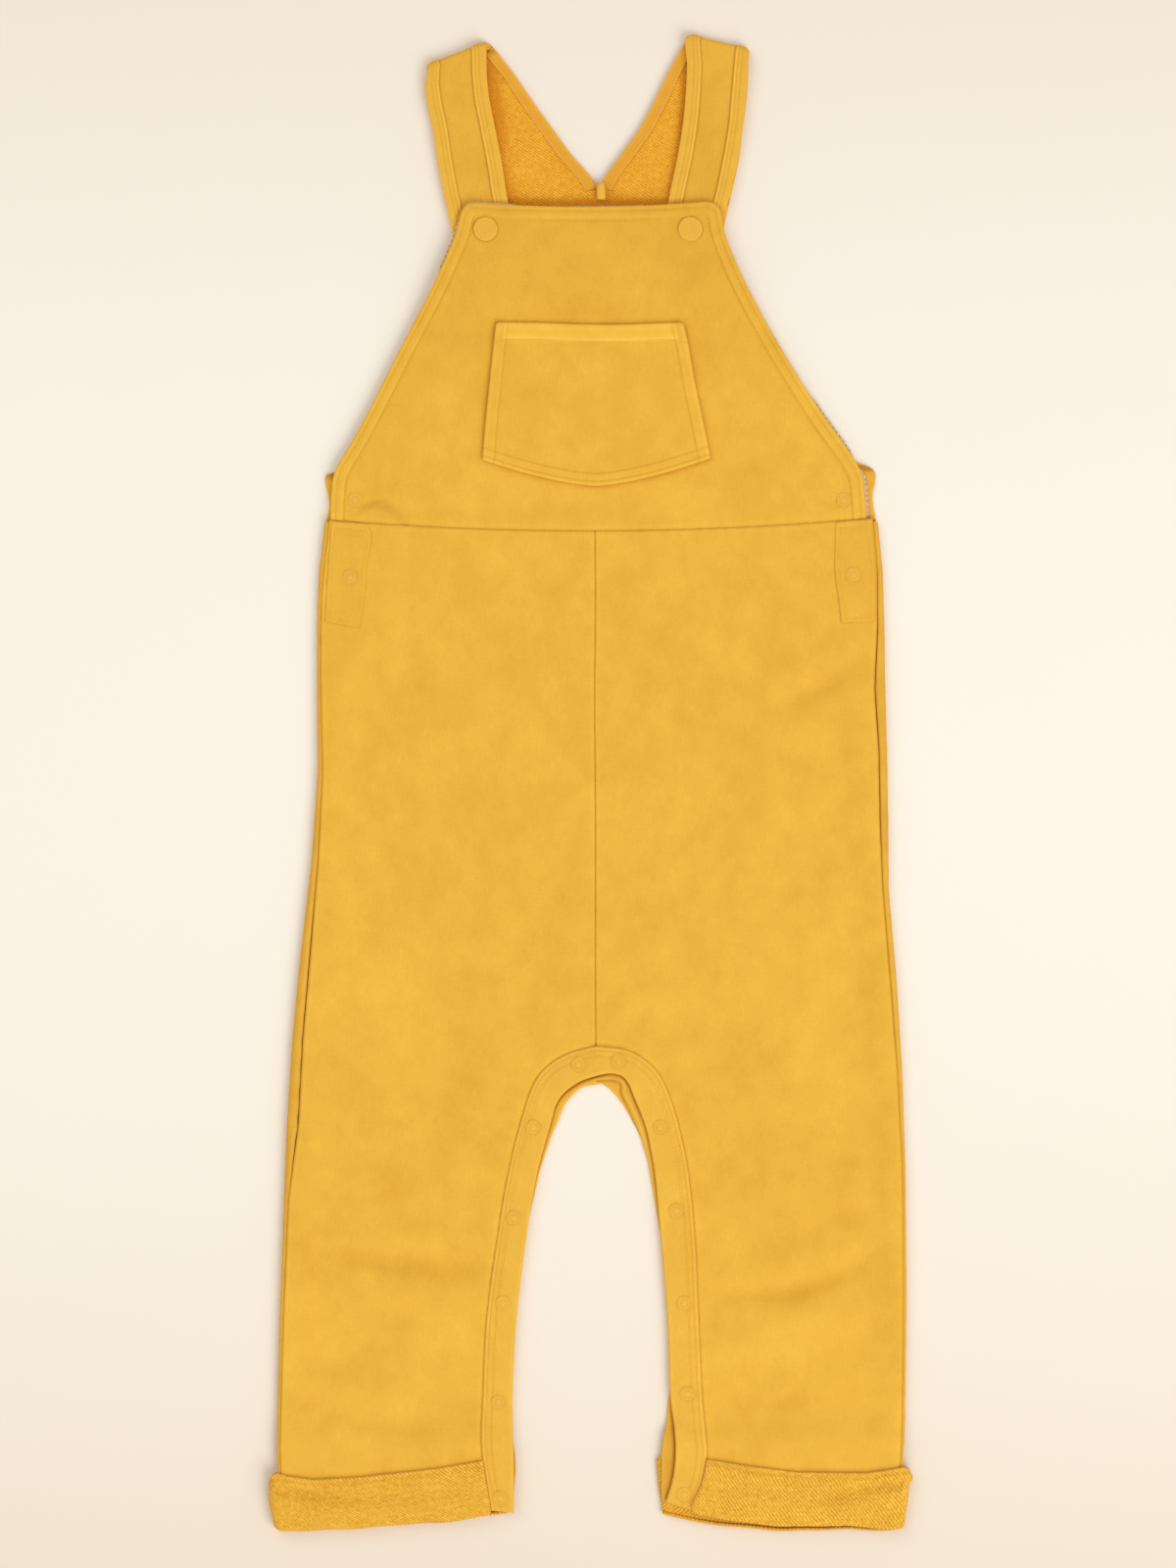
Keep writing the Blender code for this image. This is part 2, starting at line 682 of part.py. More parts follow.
class Leg:
    """The left or right leg: its edges, its levels and its panels."""

    def __init__(self, sign, name, side, folds, band_outer, band_inner):
        self.sign = sign
        self.name = name
        self.side = side
        self.folds = folds
        self.centre = Edge(CENTRE_SEAM)
        self.band_outer = Edge(band_outer)
        self.band_inner = Edge(band_inner)

    def inner_spots(self):
        """Return the inner edge from waist to hem: the centre seam, then the band's edge."""
        centre = [self.centre.at(share) for share in even_shares(LEG_ROWS_TO_CROTCH)]
        band = [self.band_outer.at(share) for share in LEG_ROW_SHARES]
        return centre + band[1:]

    def side_heights(self):
        """Return where the rows meet the side, from waist to hem."""
        to_crotch = [mix(LEG_TOP, CROTCH_LEVEL, share) for share in even_shares(LEG_ROWS_TO_CROTCH)]
        to_hem = [mix(CROTCH_LEVEL, LEG_END, share) for share in LEG_ROW_SHARES]
        return to_crotch + to_hem[1:]

    def side_value(self, column, y):
        """Read the side's table."""
        return read_table(self.side, "y", column, y)

    def front_level(self, x, y):
        """Return the lower face of the leg's front at a point."""
        roll = self.side_value("roll", y)
        shelf = self.side_value("shelf", y)
        inside = self.side_value("seam", y) - self.sign * x
        at_side = (roll - CLOTH - FRONT_LEVEL) * (1.0 - ease((inside - shelf) / SIDE_SLOPE))
        at_waist = (LINED_LEVEL - FRONT_LEVEL) * ease((y - WAIST_RISE_STARTS) / WAIST_RISE_REACH)
        return FRONT_LEVEL + cuff_lift(y) + max(at_side, at_waist) + fold_height(self.folds, x, y)

    def front_rows(self):
        """Return the front panel's rows, from the side seam to the inner edge."""
        plan = []
        for y, inner in zip(self.side_heights(), self.inner_spots()):
            seam = self.sign * (self.side_value("seam", y) - SEAM_GAP)
            outer = Vector((seam, y))
            towards = (outer - inner).normalized()
            end = inner + towards * SEAM_GAP / 2
            plan.append([outer.lerp(end, column / LEG_COLUMNS) for column in range(LEG_COLUMNS + 1)])
        self.open_gap_at_band(plan)
        bend_end(plan, lambda x: waist_seam(x) - SEAM_GAP, 60.0, last=False)
        return [[raised(spot, self.front_level(spot.x, spot.y), CLOTH) for spot in row] for row in plan]

    def open_gap_at_band(self, plan):
        """Move the inner ends of the rows square off the band, to leave the seam's gap."""
        ends = [row[-1].copy() for row in plan]
        for index in range(1, len(ends) - 1):
            run = (ends[index + 1] - ends[index - 1]).normalized()
            square = Vector((-run.y, run.x))
            if square.x * self.sign < 0:
                square = -square
            if index >= LEG_ROWS_TO_CROTCH:
                plan[index][-1] = self.inner_spots()[index] + square * SEAM_GAP

    def back_rows(self):
        """Return the back panel's rows, which lie on the floor and roll up round the side."""
        rows = []
        for y, inner in zip(self.side_heights(), self.inner_spots()):
            outline = self.side_value("outline", y)
            seam = self.side_value("seam", y) + SEAM_GAP / 2
            radius = self.side_value("roll", y) / 2
            floor = cuff_lift(y)
            start = self.sign * inner.x + 2 * SEAM_GAP
            bend = outline - radius
            row = []
            for column in range(BACK_LEG_COLUMNS + 1):
                share = column / BACK_LEG_COLUMNS
                out = mix(start, bend, share)
                spot = Vector((self.sign * out, mix(inner.y, y, share)))
                row.append(raised(spot, cuff_lift(spot.y), CLOTH))
            last_turn = math.acos(max(0.0, 1.0 - (outline - seam) / radius))
            for step in range(1, ROLL_STEPS + 1):
                turn = -math.pi / 2 + (math.pi / 2 + last_turn) * step / ROLL_STEPS
                row.append(self.roll_pair(bend, y, floor, radius, turn))
            row[-1] = self.seam_pair(seam, y, row[-1][0].z)
            rows.append(row)
        return rows

    def roll_pair(self, bend, y, floor, radius, turn):
        """Return the outer and inner points of the side's roll at one turn."""
        inner = max(radius - CLOTH, 0.2)
        pair = []
        for reach in (radius, inner):
            out = bend + reach * math.cos(turn)
            pair.append(Vector((self.sign * out, y, floor + radius + reach * math.sin(turn))))
        return tuple(pair)

    def seam_pair(self, seam, y, top):
        """Return the pair at the side seam, one over the other."""
        return Vector((self.sign * seam, y, top)), Vector((self.sign * seam, y, top - CLOTH))

    def build(self, cloth):
        """Build the two panels."""
        make_wall(f"front_leg_{self.name}", cloth, self.front_rows())
        make_wall(f"back_leg_{self.name}", cloth, self.back_rows())


def back_band_reach(inner):
    """Return how far the back band shows past the front band at a point of its inner edge."""
    start, end = BACK_BAND_SIDES
    left = read_table(BACK_BAND, "y", "left", inner.y)
    right = read_table(BACK_BAND, "y", "right", inner.y)
    return mix(left, right, ease((inner.x - start) / (end - start)))


def build_inseam_bands(left, right, front_cloth, back_cloth):
    """Build the two bands that run down one leg's inside, round the crotch and up the other."""
    shares = LEG_ROW_SHARES
    outer = [left.band_outer.at(share) for share in reversed(shares)]
    inner = [left.band_inner.at(share) for share in reversed(shares)]
    outer += [right.band_outer.at(share) for share in shares[1:]]
    inner += [right.band_inner.at(share) for share in shares[1:]]
    front_rows = []
    back_rows = []
    for start, end in zip(outer, inner):
        end_back = end + (end - start).normalized() * back_band_reach(end)
        level = cuff_lift(start.y)
        front_rows.append([raised(start.lerp(end, part), FRONT_LEVEL + level, BAND) for part in ACROSS_PARTS])
        back_rows.append([raised(start.lerp(end_back, part), level, CLOTH) for part in ACROSS_PARTS])
    make_wall("inseam_band_front", front_cloth, front_rows)
    make_wall("inseam_band_back", back_cloth, back_rows)


def build_cuff(leg, hems, edge, terry):
    """Build one turned-up cuff: a layer under the leg, a roll round its side, a layer over it."""
    radius = CUFF_HEIGHT / 2
    rows = []
    for share in CUFF_ROWS:
        outline = read_table(edge, "share", "out", share)
        row = []
        start = hems[0].out + CUFF_LEAN * share**2
        path = [mix(start, outline - radius, part) for part in even_shares(CUFF_STEPS)]
        for out in path:
            y = mix(read_table(hems, "out", "top", out), read_table(hems, "out", "back_end", out), share)
            row.append(raised(Vector((leg.sign * out, y)), 0.0, BACK_CUFF))
        for step in range(1, ROLL_STEPS + 1):
            turn = -math.pi / 2 + math.pi * step / (ROLL_STEPS + 1)
            out = outline - radius * (1.0 - math.cos(turn))
            end = mix(
                read_table(hems, "out", "back_end", out),
                read_table(hems, "out", "front_end", out),
                step / ROLL_STEPS,
            )
            y = mix(read_table(hems, "out", "top", out), end, share)
            row.append(leg.roll_pair(outline - radius, y, 0.0, radius, turn))
        band_out = band_edge_out(leg, mix(CUFF_BAND_TOP, CUFF_BAND_END, share)) + SEAM_GAP
        for part in even_shares(CUFF_STEPS):
            out = mix(outline - radius, band_out, part)
            y = mix(read_table(hems, "out", "top", out), read_table(hems, "out", "front_end", out), share)
            low, high = raised(Vector((leg.sign * out, y)), CUFF_HEIGHT - TERRY, TERRY)
            row.append((high, low))
        rows.append(row)
    make_wall(f"cuff_{leg.name}", terry, rows)


def band_edge_out(leg, y):
    """Return how far out the band's outer edge lies at a height near the hem."""
    for step in range(60, 401):
        spot = leg.band_outer.at(step / 400)
        if spot.y <= y:
            return abs(spot.x) + SEAM_GAP
    return abs(leg.band_outer.at(1.0).x) + SEAM_GAP


def strap_fold_rows(fold):
    """Return the rows that turn a strap over its fold line, from the back run to the front run."""
    start = Vector((fold.left_x, fold.left_y))
    end = Vector((fold.right_x, fold.right_y))
    run = (end - start).normalized()
    outward = Vector((-run.y, run.x))
    rows = []
    for step in range(5):
        turn = -math.pi / 2 + math.pi * step / 4
        row = []
        for part in ACROSS_PARTS:
            base = start.lerp(end, part) - outward * STRAP_FOLD_RADIUS
            pair = []
            for reach in (STRAP_FOLD_RADIUS, STRAP_FOLD_RADIUS - CLOTH):
                spot = base + outward * reach * math.cos(turn)
                pair.append(Vector((spot.x, spot.y, STRAP_FOLD_RADIUS + reach * math.sin(turn))))
            row.append(tuple(pair))
        rows.append(row)
    return rows


def strap_level(rows_down):
    """Return the height of a strap's face, a number of rows down from its fold."""
    return mix(STRAP_FOLD_RADIUS * 2, STRAP_TOP, ease((rows_down + 1) / 3))


def build_back_half(name, sections, fold, strap, cloth):
    """Build one half of the back with its strap, which turns over and comes down the front."""
    rows = []
    back = ruled_plan(left_edge(sections), right_edge(sections), 2, BACK_SHARES)
    for plan_row in back:
        rows.append([raised(spot, 0.0, CLOTH) for spot in plan_row])
    rows += strap_fold_rows(fold)
    front = ruled_plan(left_edge(strap), right_edge(strap), 2, even_shares(STRAP_ROWS))
    for index, plan_row in enumerate(front):
        top = strap_level(index)
        rows.append([raised(spot, top - CLOTH, CLOTH)[::-1] for spot in plan_row])
    make_wall(f"back_bodice_{name}", cloth, rows)


def build_strap_hems(name, sections, cloth):
    """Build the turned edges on the strap's front run."""
    edges = [left_edge(sections), right_edge(sections)]
    last = last_share_above_bib(edges[0])
    labels = ("outer", "inner") if name == "left" else ("inner", "outer")
    for label, near, far in zip(labels, edges, reversed(edges)):
        rows = []
        for step in even_shares(STRAP_ROWS - 1):
            share = last * step
            start = near.at(share)
            across = (far.at(share) - start).normalized()
            level = strap_level(share * STRAP_ROWS) + SEAM_GAP
            spots = [start + across * STRAP_HEM_WIDTH * part for part in STRIP_PARTS]
            rows.append([raised(spot, level, FACING) for spot in spots])
        make_wall(f"strap_hem_{name}_{label}", cloth, rows)


def last_share_above_bib(edge):
    """Return the share of a strap's edge that is still clear of the bib's facing."""
    limit = BIB_TOP_Y + FACING_SHOWS + 3 * SEAM_GAP
    for step in range(200, 0, -1):
        if edge.at(step / 200).y > limit:
            return step / 200
    return 1.0


def build_neck_band(name, sections, cloth):
    """Build the band along one side of the neck, on the inside of the back."""
    edge = right_edge(sections) if name == "left" else left_edge(sections)
    inward = -1.0 if name == "left" else 1.0
    rows = []
    for step in even_shares(STRAP_ROWS):
        share = mix(*NECK_BAND_SHARES, step)
        spot = edge.at(share)
        ahead = edge.at(min(1.0, share + 0.01))
        behind = edge.at(share - 0.01)
        run = (ahead - behind).normalized()
        square = Vector((run.y, -run.x)) * inward
        spots = [spot + square * NECK_BAND_WIDTH * part for part in STRIP_PARTS]
        rows.append([raised(place, FRONT_LEVEL, FACING) for place in spots])
    make_wall(f"neck_band_{name}", cloth, rows)


def build_bib(cloth, facing_cloth):
    """Build the bib's front and the facing that shows past its edge."""
    left = left_edge(BIB)
    right = right_edge(BIB)
    shares = [1.0 - (1.0 - share) ** BIB_ROW_POWER for share in even_shares(BIB_ROWS)]
    plan = ruled_plan(left, right, BIB_COLUMNS, shares)
    bend_end(plan, waist_seam, 40.0, last=False)
    bend_end(plan, bib_top, 30.0, last=True)
    make_wall("bib_front", cloth, [[raised(spot, bib_level(spot.y), CLOTH) for spot in row] for row in plan])

    outline = [row[0] for row in plan] + plan[-1][1:-1] + [row[-1] for row in reversed(plan)]
    rows = []
    for index, spot in enumerate(outline):
        behind = outline[max(0, index - 1)]
        ahead = outline[min(len(outline) - 1, index + 1)]
        run = (ahead - behind).normalized()
        outward = Vector((-run.y, run.x))
        row = []
        for reach in (FACING_SHOWS, FACING_SHOWS - FACING_WIDTH):
            edge = spot + outward * reach
            row.append(raised(edge, facing_level(edge.y), FACING))
        rows.append(row)
    make_wall("bib_facing", facing_cloth, rows)


def build_pocket(cloth):
    """Build the pocket, moved out from the bib, with a pointed foot and a doubled top hem."""
    hem_starts, hem_full = POCKET_HEM_SHARES
    shares = [share * hem_starts for share in even_shares(POCKET_ROWS)] + [hem_full, 1.0]
    plan = ruled_plan(left_edge(POCKET), right_edge(POCKET), POCKET_COLUMNS, shares)
    foot_left = POCKET[0].left_x
    foot_width = POCKET[0].right_x - foot_left

    def foot(x):
        """Return the foot's edge at a place across the pocket."""
        share = (x - foot_left) / foot_width
        level = mix(POCKET[0].left_y, POCKET[0].right_y, share)
        return level - POCKET_POINT_DEPTH * (1.0 - abs(2.0 * share - 1.0) ** POCKET_POINT_POWER)

    bend_end(plan, foot, 55.0, last=False)
    rows = []
    for row in plan:
        pairs = []
        for spot in row:
            bottom = bib_level(spot.y) + CLOTH + SEAM_GAP
            hem = ease(spot.y - POCKET[-1].left_y + POCKET_HEM_DEPTH + 1.0)
            pairs.append(raised(spot, bottom, CLOTH + POCKET_HEM_EXTRA * hem))
        rows.append(pairs)
    make_wall("bib_pocket", cloth, rows)


def build_tab(leg, sections, cloth):
    """Build a side tab, made from the leg's surface and moved out."""
    plan = ruled_plan(left_edge(sections), right_edge(sections), 3, even_shares(5))
    level = LINED_LEVEL + CLOTH + SEAM_GAP
    rows = [[raised(spot, level, TAB_THICKNESS) for spot in row] for row in plan]
    make_wall(f"side_tab_{leg.name}", cloth, rows)


def build_neck_loop(cloth):
    """Build the small loop of tape at the point of the neck."""
    plan = ruled_plan(left_edge(NECK_LOOP), right_edge(NECK_LOOP), 2, even_shares(2))
    level = FRONT_LEVEL + FACING + SEAM_GAP
    make_wall("neck_loop", cloth, [[raised(spot, level, FACING) for spot in row] for row in plan])


def build_turned(name, profile, radius, sides, place, material):
    """Turn a profile of (share of the radius, height) rows about an upright axis at a place."""
    mesh = bmesh.new()
    verts = [mesh.verts.new((share * radius, 0.0, height)) for share, height in profile]
    edges = [mesh.edges.new(pair) for pair in zip(verts, verts[1:])]
    bmesh.ops.spin(
        mesh,
        geom=verts + edges,
        cent=(0.0, 0.0, 0.0),
        axis=(0.0, 0.0, 1.0),
        angle=2 * math.pi,
        steps=sides,
        use_merge=True,
    )
    bmesh.ops.remove_doubles(mesh, verts=mesh.verts, dist=0.0001)
    bmesh.ops.translate(mesh, verts=mesh.verts, vec=place)
    add_object(name, mesh, material)


def build_snaps(coat):
    """Press the ring snaps and the strap caps into the pieces that carry them."""
    tab_top = LINED_LEVEL + CLOTH + SEAM_GAP + TAB_THICKNESS
    for snap in RING_SNAPS:
        if snap.name.startswith("bib"):
            level = bib_level(snap.y) + CLOTH
        elif snap.name.startswith("tab"):
            level = tab_top
        else:
            level = FRONT_LEVEL + cuff_lift(snap.y) + BAND
        place = (snap.x, snap.y, level + SEAM_GAP)
        build_turned(f"snap_{snap.name}", RING_PROFILE, RING_SNAP_RADIUS, SNAP_SIDES, place, coat)
    for snap in STRAP_CAPS:
        place = (snap.x, snap.y, bib_level(snap.y) + CLOTH + SEAM_GAP)
        build_turned(f"strap_cap_{snap.name}", CAP_PROFILE, STRAP_CAP_RADIUS, CAP_SIDES, place, coat)


def main():
    """Build the dungarees from the floor up."""
    clear_scene()
    cloth = make_material("mustard jersey", MUSTARD, 0.9)
    bands = make_material("mustard band", MUSTARD_DEEP, 0.9)
    terry = make_material("looped inside", TERRY_INSIDE, 0.95)
    facing = make_material("pale facing", PALE_FACING, 0.9)
    coat = make_material("snap coat", SNAP_COAT, 0.35)

    build_back_half("left", BACK_LEFT, FOLD_LEFT, FRONT_STRAP_LEFT, cloth)
    build_back_half("right", BACK_RIGHT, FOLD_RIGHT, FRONT_STRAP_RIGHT, cloth)
    build_strap_hems("left", FRONT_STRAP_LEFT, bands)
    build_strap_hems("right", FRONT_STRAP_RIGHT, bands)
    build_neck_band("left", BACK_LEFT, bands)
    build_neck_band("right", BACK_RIGHT, bands)
    build_neck_loop(facing)
    build_bib(cloth, facing)
    build_pocket(cloth)

    left = Leg(-1, "left", SIDE_LEFT, FOLDS_LEFT, BAND_OUTER_LEFT, BAND_INNER_LEFT)
    right = Leg(1, "right", SIDE_RIGHT, FOLDS_RIGHT, BAND_OUTER_RIGHT, BAND_INNER_RIGHT)
    left.build(cloth)
    right.build(cloth)
    build_tab(left, TAB_LEFT, cloth)
    build_tab(right, TAB_RIGHT, cloth)
    build_inseam_bands(left, right, bands, bands)
    build_cuff(left, CUFF_LEFT, CUFF_EDGE_LEFT, terry)
    build_cuff(right, CUFF_RIGHT, CUFF_EDGE_RIGHT, terry)
    build_snaps(coat)


main()
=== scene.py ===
"""Dresses a pair of toddler dungarees in mustard jersey, laid flat with the cuffs turned up.

Pieces are worked out in millimetres on the garment's own plan: X across, Y from the leg ends up
to the straps, Z up from the floor. They turn into metres, in the frame's place, as each mesh is
made. A piece of cloth is a wall of two faces: its face, which is the side that the maker shows,
and its reverse.
"""
from __future__ import annotations

import logging
import math
from collections.abc import Callable, Sequence
from dataclasses import dataclass, field
from enum import Enum
from itertools import cycle
from typing import NamedTuple

import bmesh
import bpy
import numpy as np
from bpy.types import Material, Mesh, NodeSocket, Object, bpy_prop_collection
from mathutils import Matrix, Vector
from mathutils.bvhtree import BVHTree

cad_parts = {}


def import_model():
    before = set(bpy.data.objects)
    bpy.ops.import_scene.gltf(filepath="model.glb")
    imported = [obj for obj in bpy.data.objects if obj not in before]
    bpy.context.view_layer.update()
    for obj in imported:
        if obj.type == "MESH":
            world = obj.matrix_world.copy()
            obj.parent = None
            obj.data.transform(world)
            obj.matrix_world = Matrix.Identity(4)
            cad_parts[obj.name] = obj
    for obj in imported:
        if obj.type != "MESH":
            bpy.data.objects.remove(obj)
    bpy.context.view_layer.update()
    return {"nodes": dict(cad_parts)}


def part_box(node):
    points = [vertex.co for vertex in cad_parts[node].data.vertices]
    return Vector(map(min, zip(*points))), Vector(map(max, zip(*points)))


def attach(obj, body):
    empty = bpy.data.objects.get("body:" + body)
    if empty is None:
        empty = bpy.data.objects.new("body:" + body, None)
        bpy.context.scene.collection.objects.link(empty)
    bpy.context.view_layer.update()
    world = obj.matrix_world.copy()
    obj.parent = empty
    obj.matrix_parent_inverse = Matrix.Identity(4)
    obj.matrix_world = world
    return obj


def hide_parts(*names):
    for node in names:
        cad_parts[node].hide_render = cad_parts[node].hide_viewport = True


LOG = logging.getLogger("dungarees")
Array = np.ndarray
Number = np.ndarray | float
Colour = tuple[float, float, float]
Pair = tuple[float, float]
Points = Sequence[Pair]

MM = 0.001
BOX_CENTRE = (0.70, 0.16)

# Cloth and the heights at which its layers lie over the floor
CLOTH = 1.6
FACING = 1.0
BAND = 2.2
TERRY = 1.8
GAP = 0.3
FRONT_LEVEL = CLOTH + GAP
LINED_LEVEL = FRONT_LEVEL + FACING + GAP
STRAP_TOP = FRONT_LEVEL + CLOTH
LAYER_LIFT = CLOTH + GAP
CUFF_HEIGHT = LAYER_LIFT + FRONT_LEVEL + CLOTH + GAP + TERRY
CUFF_LIFT_STARTS = -296.0
CUFF_LIFT_REACH = 14.0

# How far lines sag, and how the layers rise over one another
WAIST_SAG = 5.4
BIB_TOP_SAG = 2.2
BIB_CLIMBS_AT = 62.0
BIB_CLIMB = 32.0
FACING_CLIMBS_AT = 40.0
FACING_CLIMB = 13.0
SIDE_RISE = 4.4
SNAP_PULL = 0.1
RING_SINKS = 0.3
CAP_SINKS = 0.5

# The painted shadow's brown, at the bottom of the deepest grooves and hollows
PAINTED_SHADOW_BROWN = (0.24, 0.09, 0.012)

# How closely the points of a piece stand
FINE_EDGE = (0.0, 0.12, 0.35, 0.7, 1.1, 1.6, 2.1, 2.6, 3.2, 4.0, 4.8, 5.5, 6.1, 6.6, 7.2, 8.0)
PLAIN_EDGE = (0.0, 0.15, 0.4, 0.8, 1.3, 2.0, 3.0)
LEG_PITCH = 2.0
BIB_PITCH = 1.7
BAND_PITCH = 1.0


class Hand(Enum):
    """The side of the garment as it lies, seen from above."""

    LEFT = -1
    RIGHT = 1

    def __str__(self) -> str:
        """Return the word that names this side's nodes."""
        return self.name.lower()


class Section(NamedTuple):
    """One section across a panel, from its left edge to its right edge."""

    left_x: float
    left_y: float
    right_x: float
    right_y: float

    def share(self, x: Array) -> Array:
        """Return how far along the section each X is, from 0 to 1."""
        return (x - self.left_x) / (self.right_x - self.left_x)

    def sagging(self, x: Array, sag: float) -> Array:
        """Return the Y at each X of a line between the ends that sags towards its middle."""
        share = self.share(x)
        return mix(self.left_y, self.right_y, share) - sag * 4.0 * share * (1.0 - share)


class Side(NamedTuple):
    """One section through a leg's rolled side, measured outwards from the middle."""

    y: float
    outline: float
    seam: float
    roll: float
    shelf: float


class Hem(NamedTuple):
    """One section through a turned-up cuff, measured outwards from the middle."""

    out: float
    top: float
    front_end: float
    back_end: float


class Reveal(NamedTuple):
    """How far the back band shows past the front band at one height, on each leg."""

    y: float
    left: float
    right: float


class Crease(NamedTuple):
    """One soft ridge, or a trough where its height is below zero."""

    x: float
    y: float
    turn: float
    half_length: float
    half_width: float
    height: float
    bow: float = 0.0


def table(kind: type, *rows: tuple[float, ...]) -> tuple:
    """Return a table whose rows are all of one kind."""
    return tuple(kind(*row) for row in rows)


BACK_LEFT = table(
    Section,
    (-123.4, 118.5, 2.6, 118.5), (-121.9, 125.6, 2.6, 126), (-122.4, 132.9, 2.6, 133),
    (-123.4, 138.5, 2.6, 139), (-123.4, 143.8, 2.6, 144), (-119.6, 145.6, 2.6, 148),
    (-116, 148.8, 2.6, 152), (-107, 161, 2.7, 166), (-90, 195, 2.8, 196), (-70, 236, 3, 236),
    (-63.5, 255, 3.3, 258), (-66.5, 271, 3.8, 275), (-69, 281, 1.2, 283.6), (-71.2, 294, -8, 294.2),
    (-73, 306, -16.6, 306), (-76, 319, -26, 319), (-77.2, 328, -34.3, 331.5),
)
STRAP_LEFT = table(
    Section,
    (-77, 327, -48.2, 334), (-75.8, 318, -46.9, 322), (-73.2, 306, -44.2, 308),
    (-71, 291.5, -41, 291.5), (-68.3, 277, -38.5, 275.5), (-65, 263, -35.6, 262),
    (-61.8, 249, -32.6, 248),
)
FOLD_LEFT = Section(-76.9, 336.6, -46.4, 348.8)
BACK_RIGHT = table(
    Section,
    (3.2, 118.5, 134.8, 118.5), (3.2, 127, 133.4, 127), (3.2, 134, 133.1, 134), (3.2, 141, 134.3, 141),
    (3.2, 146, 134.2, 145.6), (3.2, 149, 131.6, 148), (3.2, 152, 126.6, 149.9), (3.2, 155, 122.6, 152),
    (3.3, 167, 109, 164.5), (3.4, 196, 90, 195), (3.6, 236, 70.5, 236), (3.9, 258, 63.5, 255),
    (4.4, 275, 65.5, 271), (6.8, 283, 68, 281), (14.6, 294, 70.6, 294), (23.2, 306, 72, 306),
    (30.6, 319.5, 73.8, 319), (37, 333, 74.8, 331),
)
STRAP_RIGHT = table(
    Section,
    (46.1, 338, 74.6, 334), (45.4, 324, 73.5, 321), (44, 309, 72.3, 308), (41.3, 292.5, 69.6, 292),
    (38, 277, 66.5, 277.5), (35.4, 262, 62.8, 263), (32.8, 248, 59.8, 249),
)
FOLD_RIGHT = Section(45.8, 351.4, 75.8, 344.4)
BIB = table(
    Section,
    (-121.2, 123.3, 130, 124), (-120.8, 134, 129.3, 134), (-119.2, 145.8, 127.6, 145.4),
    (-111.4, 159.5, 120.8, 157), (-102.7, 175.5, 108, 175), (-88.8, 203, 90.5, 203),
    (-74.2, 231, 75, 231), (-65.4, 250, 66.2, 250.5), (-61.5, 260.5, 62.9, 260.5),
    (-60, 267.2, 61.8, 267.5), (-57.2, 271, 59.2, 271.4), (-53, 271.9, 54.5, 272.4),
)
POCKET = table(
    Section,
    (-50, 151.4, 57, 152.2), (-48.6, 168, 53.6, 169), (-46.6, 188, 49.6, 188), (-44.8, 205, 46.6, 205),
    (-43.6, 215.8, 44.4, 215.4),
)
TAB_LEFT = table(
    Section,
    (-123.8, 75.4, -107.4, 72.6), (-123, 90, -105, 87.5), (-122.2, 103, -104, 102),
    (-121.4, 114, -102, 114.6), (-120.8, 122.6, -103, 121.4),
)
TAB_RIGHT = table(
    Section,
    (118.2, 75, 133.6, 75.4), (117, 86, 134.2, 86), (115.2, 99, 134.2, 99), (115.2, 110, 133.6, 110),
    (115.6, 122.6, 131.8, 123.2),
)
NECK_LOOP = table(Section, (3.6, 273.4, 8, 273.4), (3.4, 281.6, 7.6, 281.8))

CENTRE_SEAM = ((2.8, 117.8), (3.0, 82.5), (2.6, 40.0), (3.0, -16.0), (3.0, -86.5), (3.2, -123.2))
BAND_OUTER_LEFT = (
    (3.2, -123.2), (-8.5, -126.2), (-18.5, -131.8), (-26, -141), (-31.8, -158), (-38, -183),
    (-43.2, -214), (-48, -249.5), (-49.8, -285), (-50.4, -312), (-46.2, -341),
)
BAND_OUTER_RIGHT = (
    (3.2, -123.2), (17, -124.8), (26, -129.5), (33.6, -137.5), (40.2, -154), (46.2, -180),
    (49.6, -212), (51.2, -245), (53, -285), (54.6, -304), (55.4, -315), (53.4, -327), (48, -341),
)
BAND_INNER_LEFT = (
    (3.8, -137.2), (-3, -139.4), (-9, -143), (-13.2, -147), (-15.8, -151.6), (-17.2, -156.6),
    (-19.8, -166), (-24.6, -184), (-29.2, -212), (-34, -252), (-35.8, -285), (-35.7, -302),
    (-35.3, -316), (-35.2, -342),
)
BAND_INNER_RIGHT = (
    (3.8, -137.2), (9, -136.2), (13.2, -136.6), (16.4, -138.2), (18.8, -141.6), (21, -147),
    (26.2, -160), (28.8, -171), (31, -184), (33.2, -208), (36.8, -252), (37.9, -285), (40.2, -304),
    (40.5, -316), (39, -327), (36, -337),
)
BACK_BAND = table(
    Reveal,
    (-136, 4.4, 8.4), (-136.5, 4.3, 9.9), (-137.5, 4, 11.6), (-139.3, 3.1, 11.5), (-141.6, 3.6, 10.4),
    (-144, 4.4, 9.2), (-147, 5.3, 7.9), (-150, 6, 7.1), (-153, 5.6, 6.5), (-156, 4.6, 5.9),
    (-161, 3.3, 5.1), (-166, 2.6, 4.5), (-174, 2.1, 3.3), (-184, 1.5, 2.8), (-193, 1, 1.9),
    (-200, 0.4, 1.2), (-206, -0.1, 0.7), (-215, -0.4, -0.4), (-283, -0.4, -0.4), (-294, -0.4, 2),
    (-300, -0.4, 3.4), (-308, -0.2, 6), (-316, 0.7, 6.8), (-322, 0.9, 6.2), (-330, 0.2, 4.6),
    (-337, -0.4, 2),
)
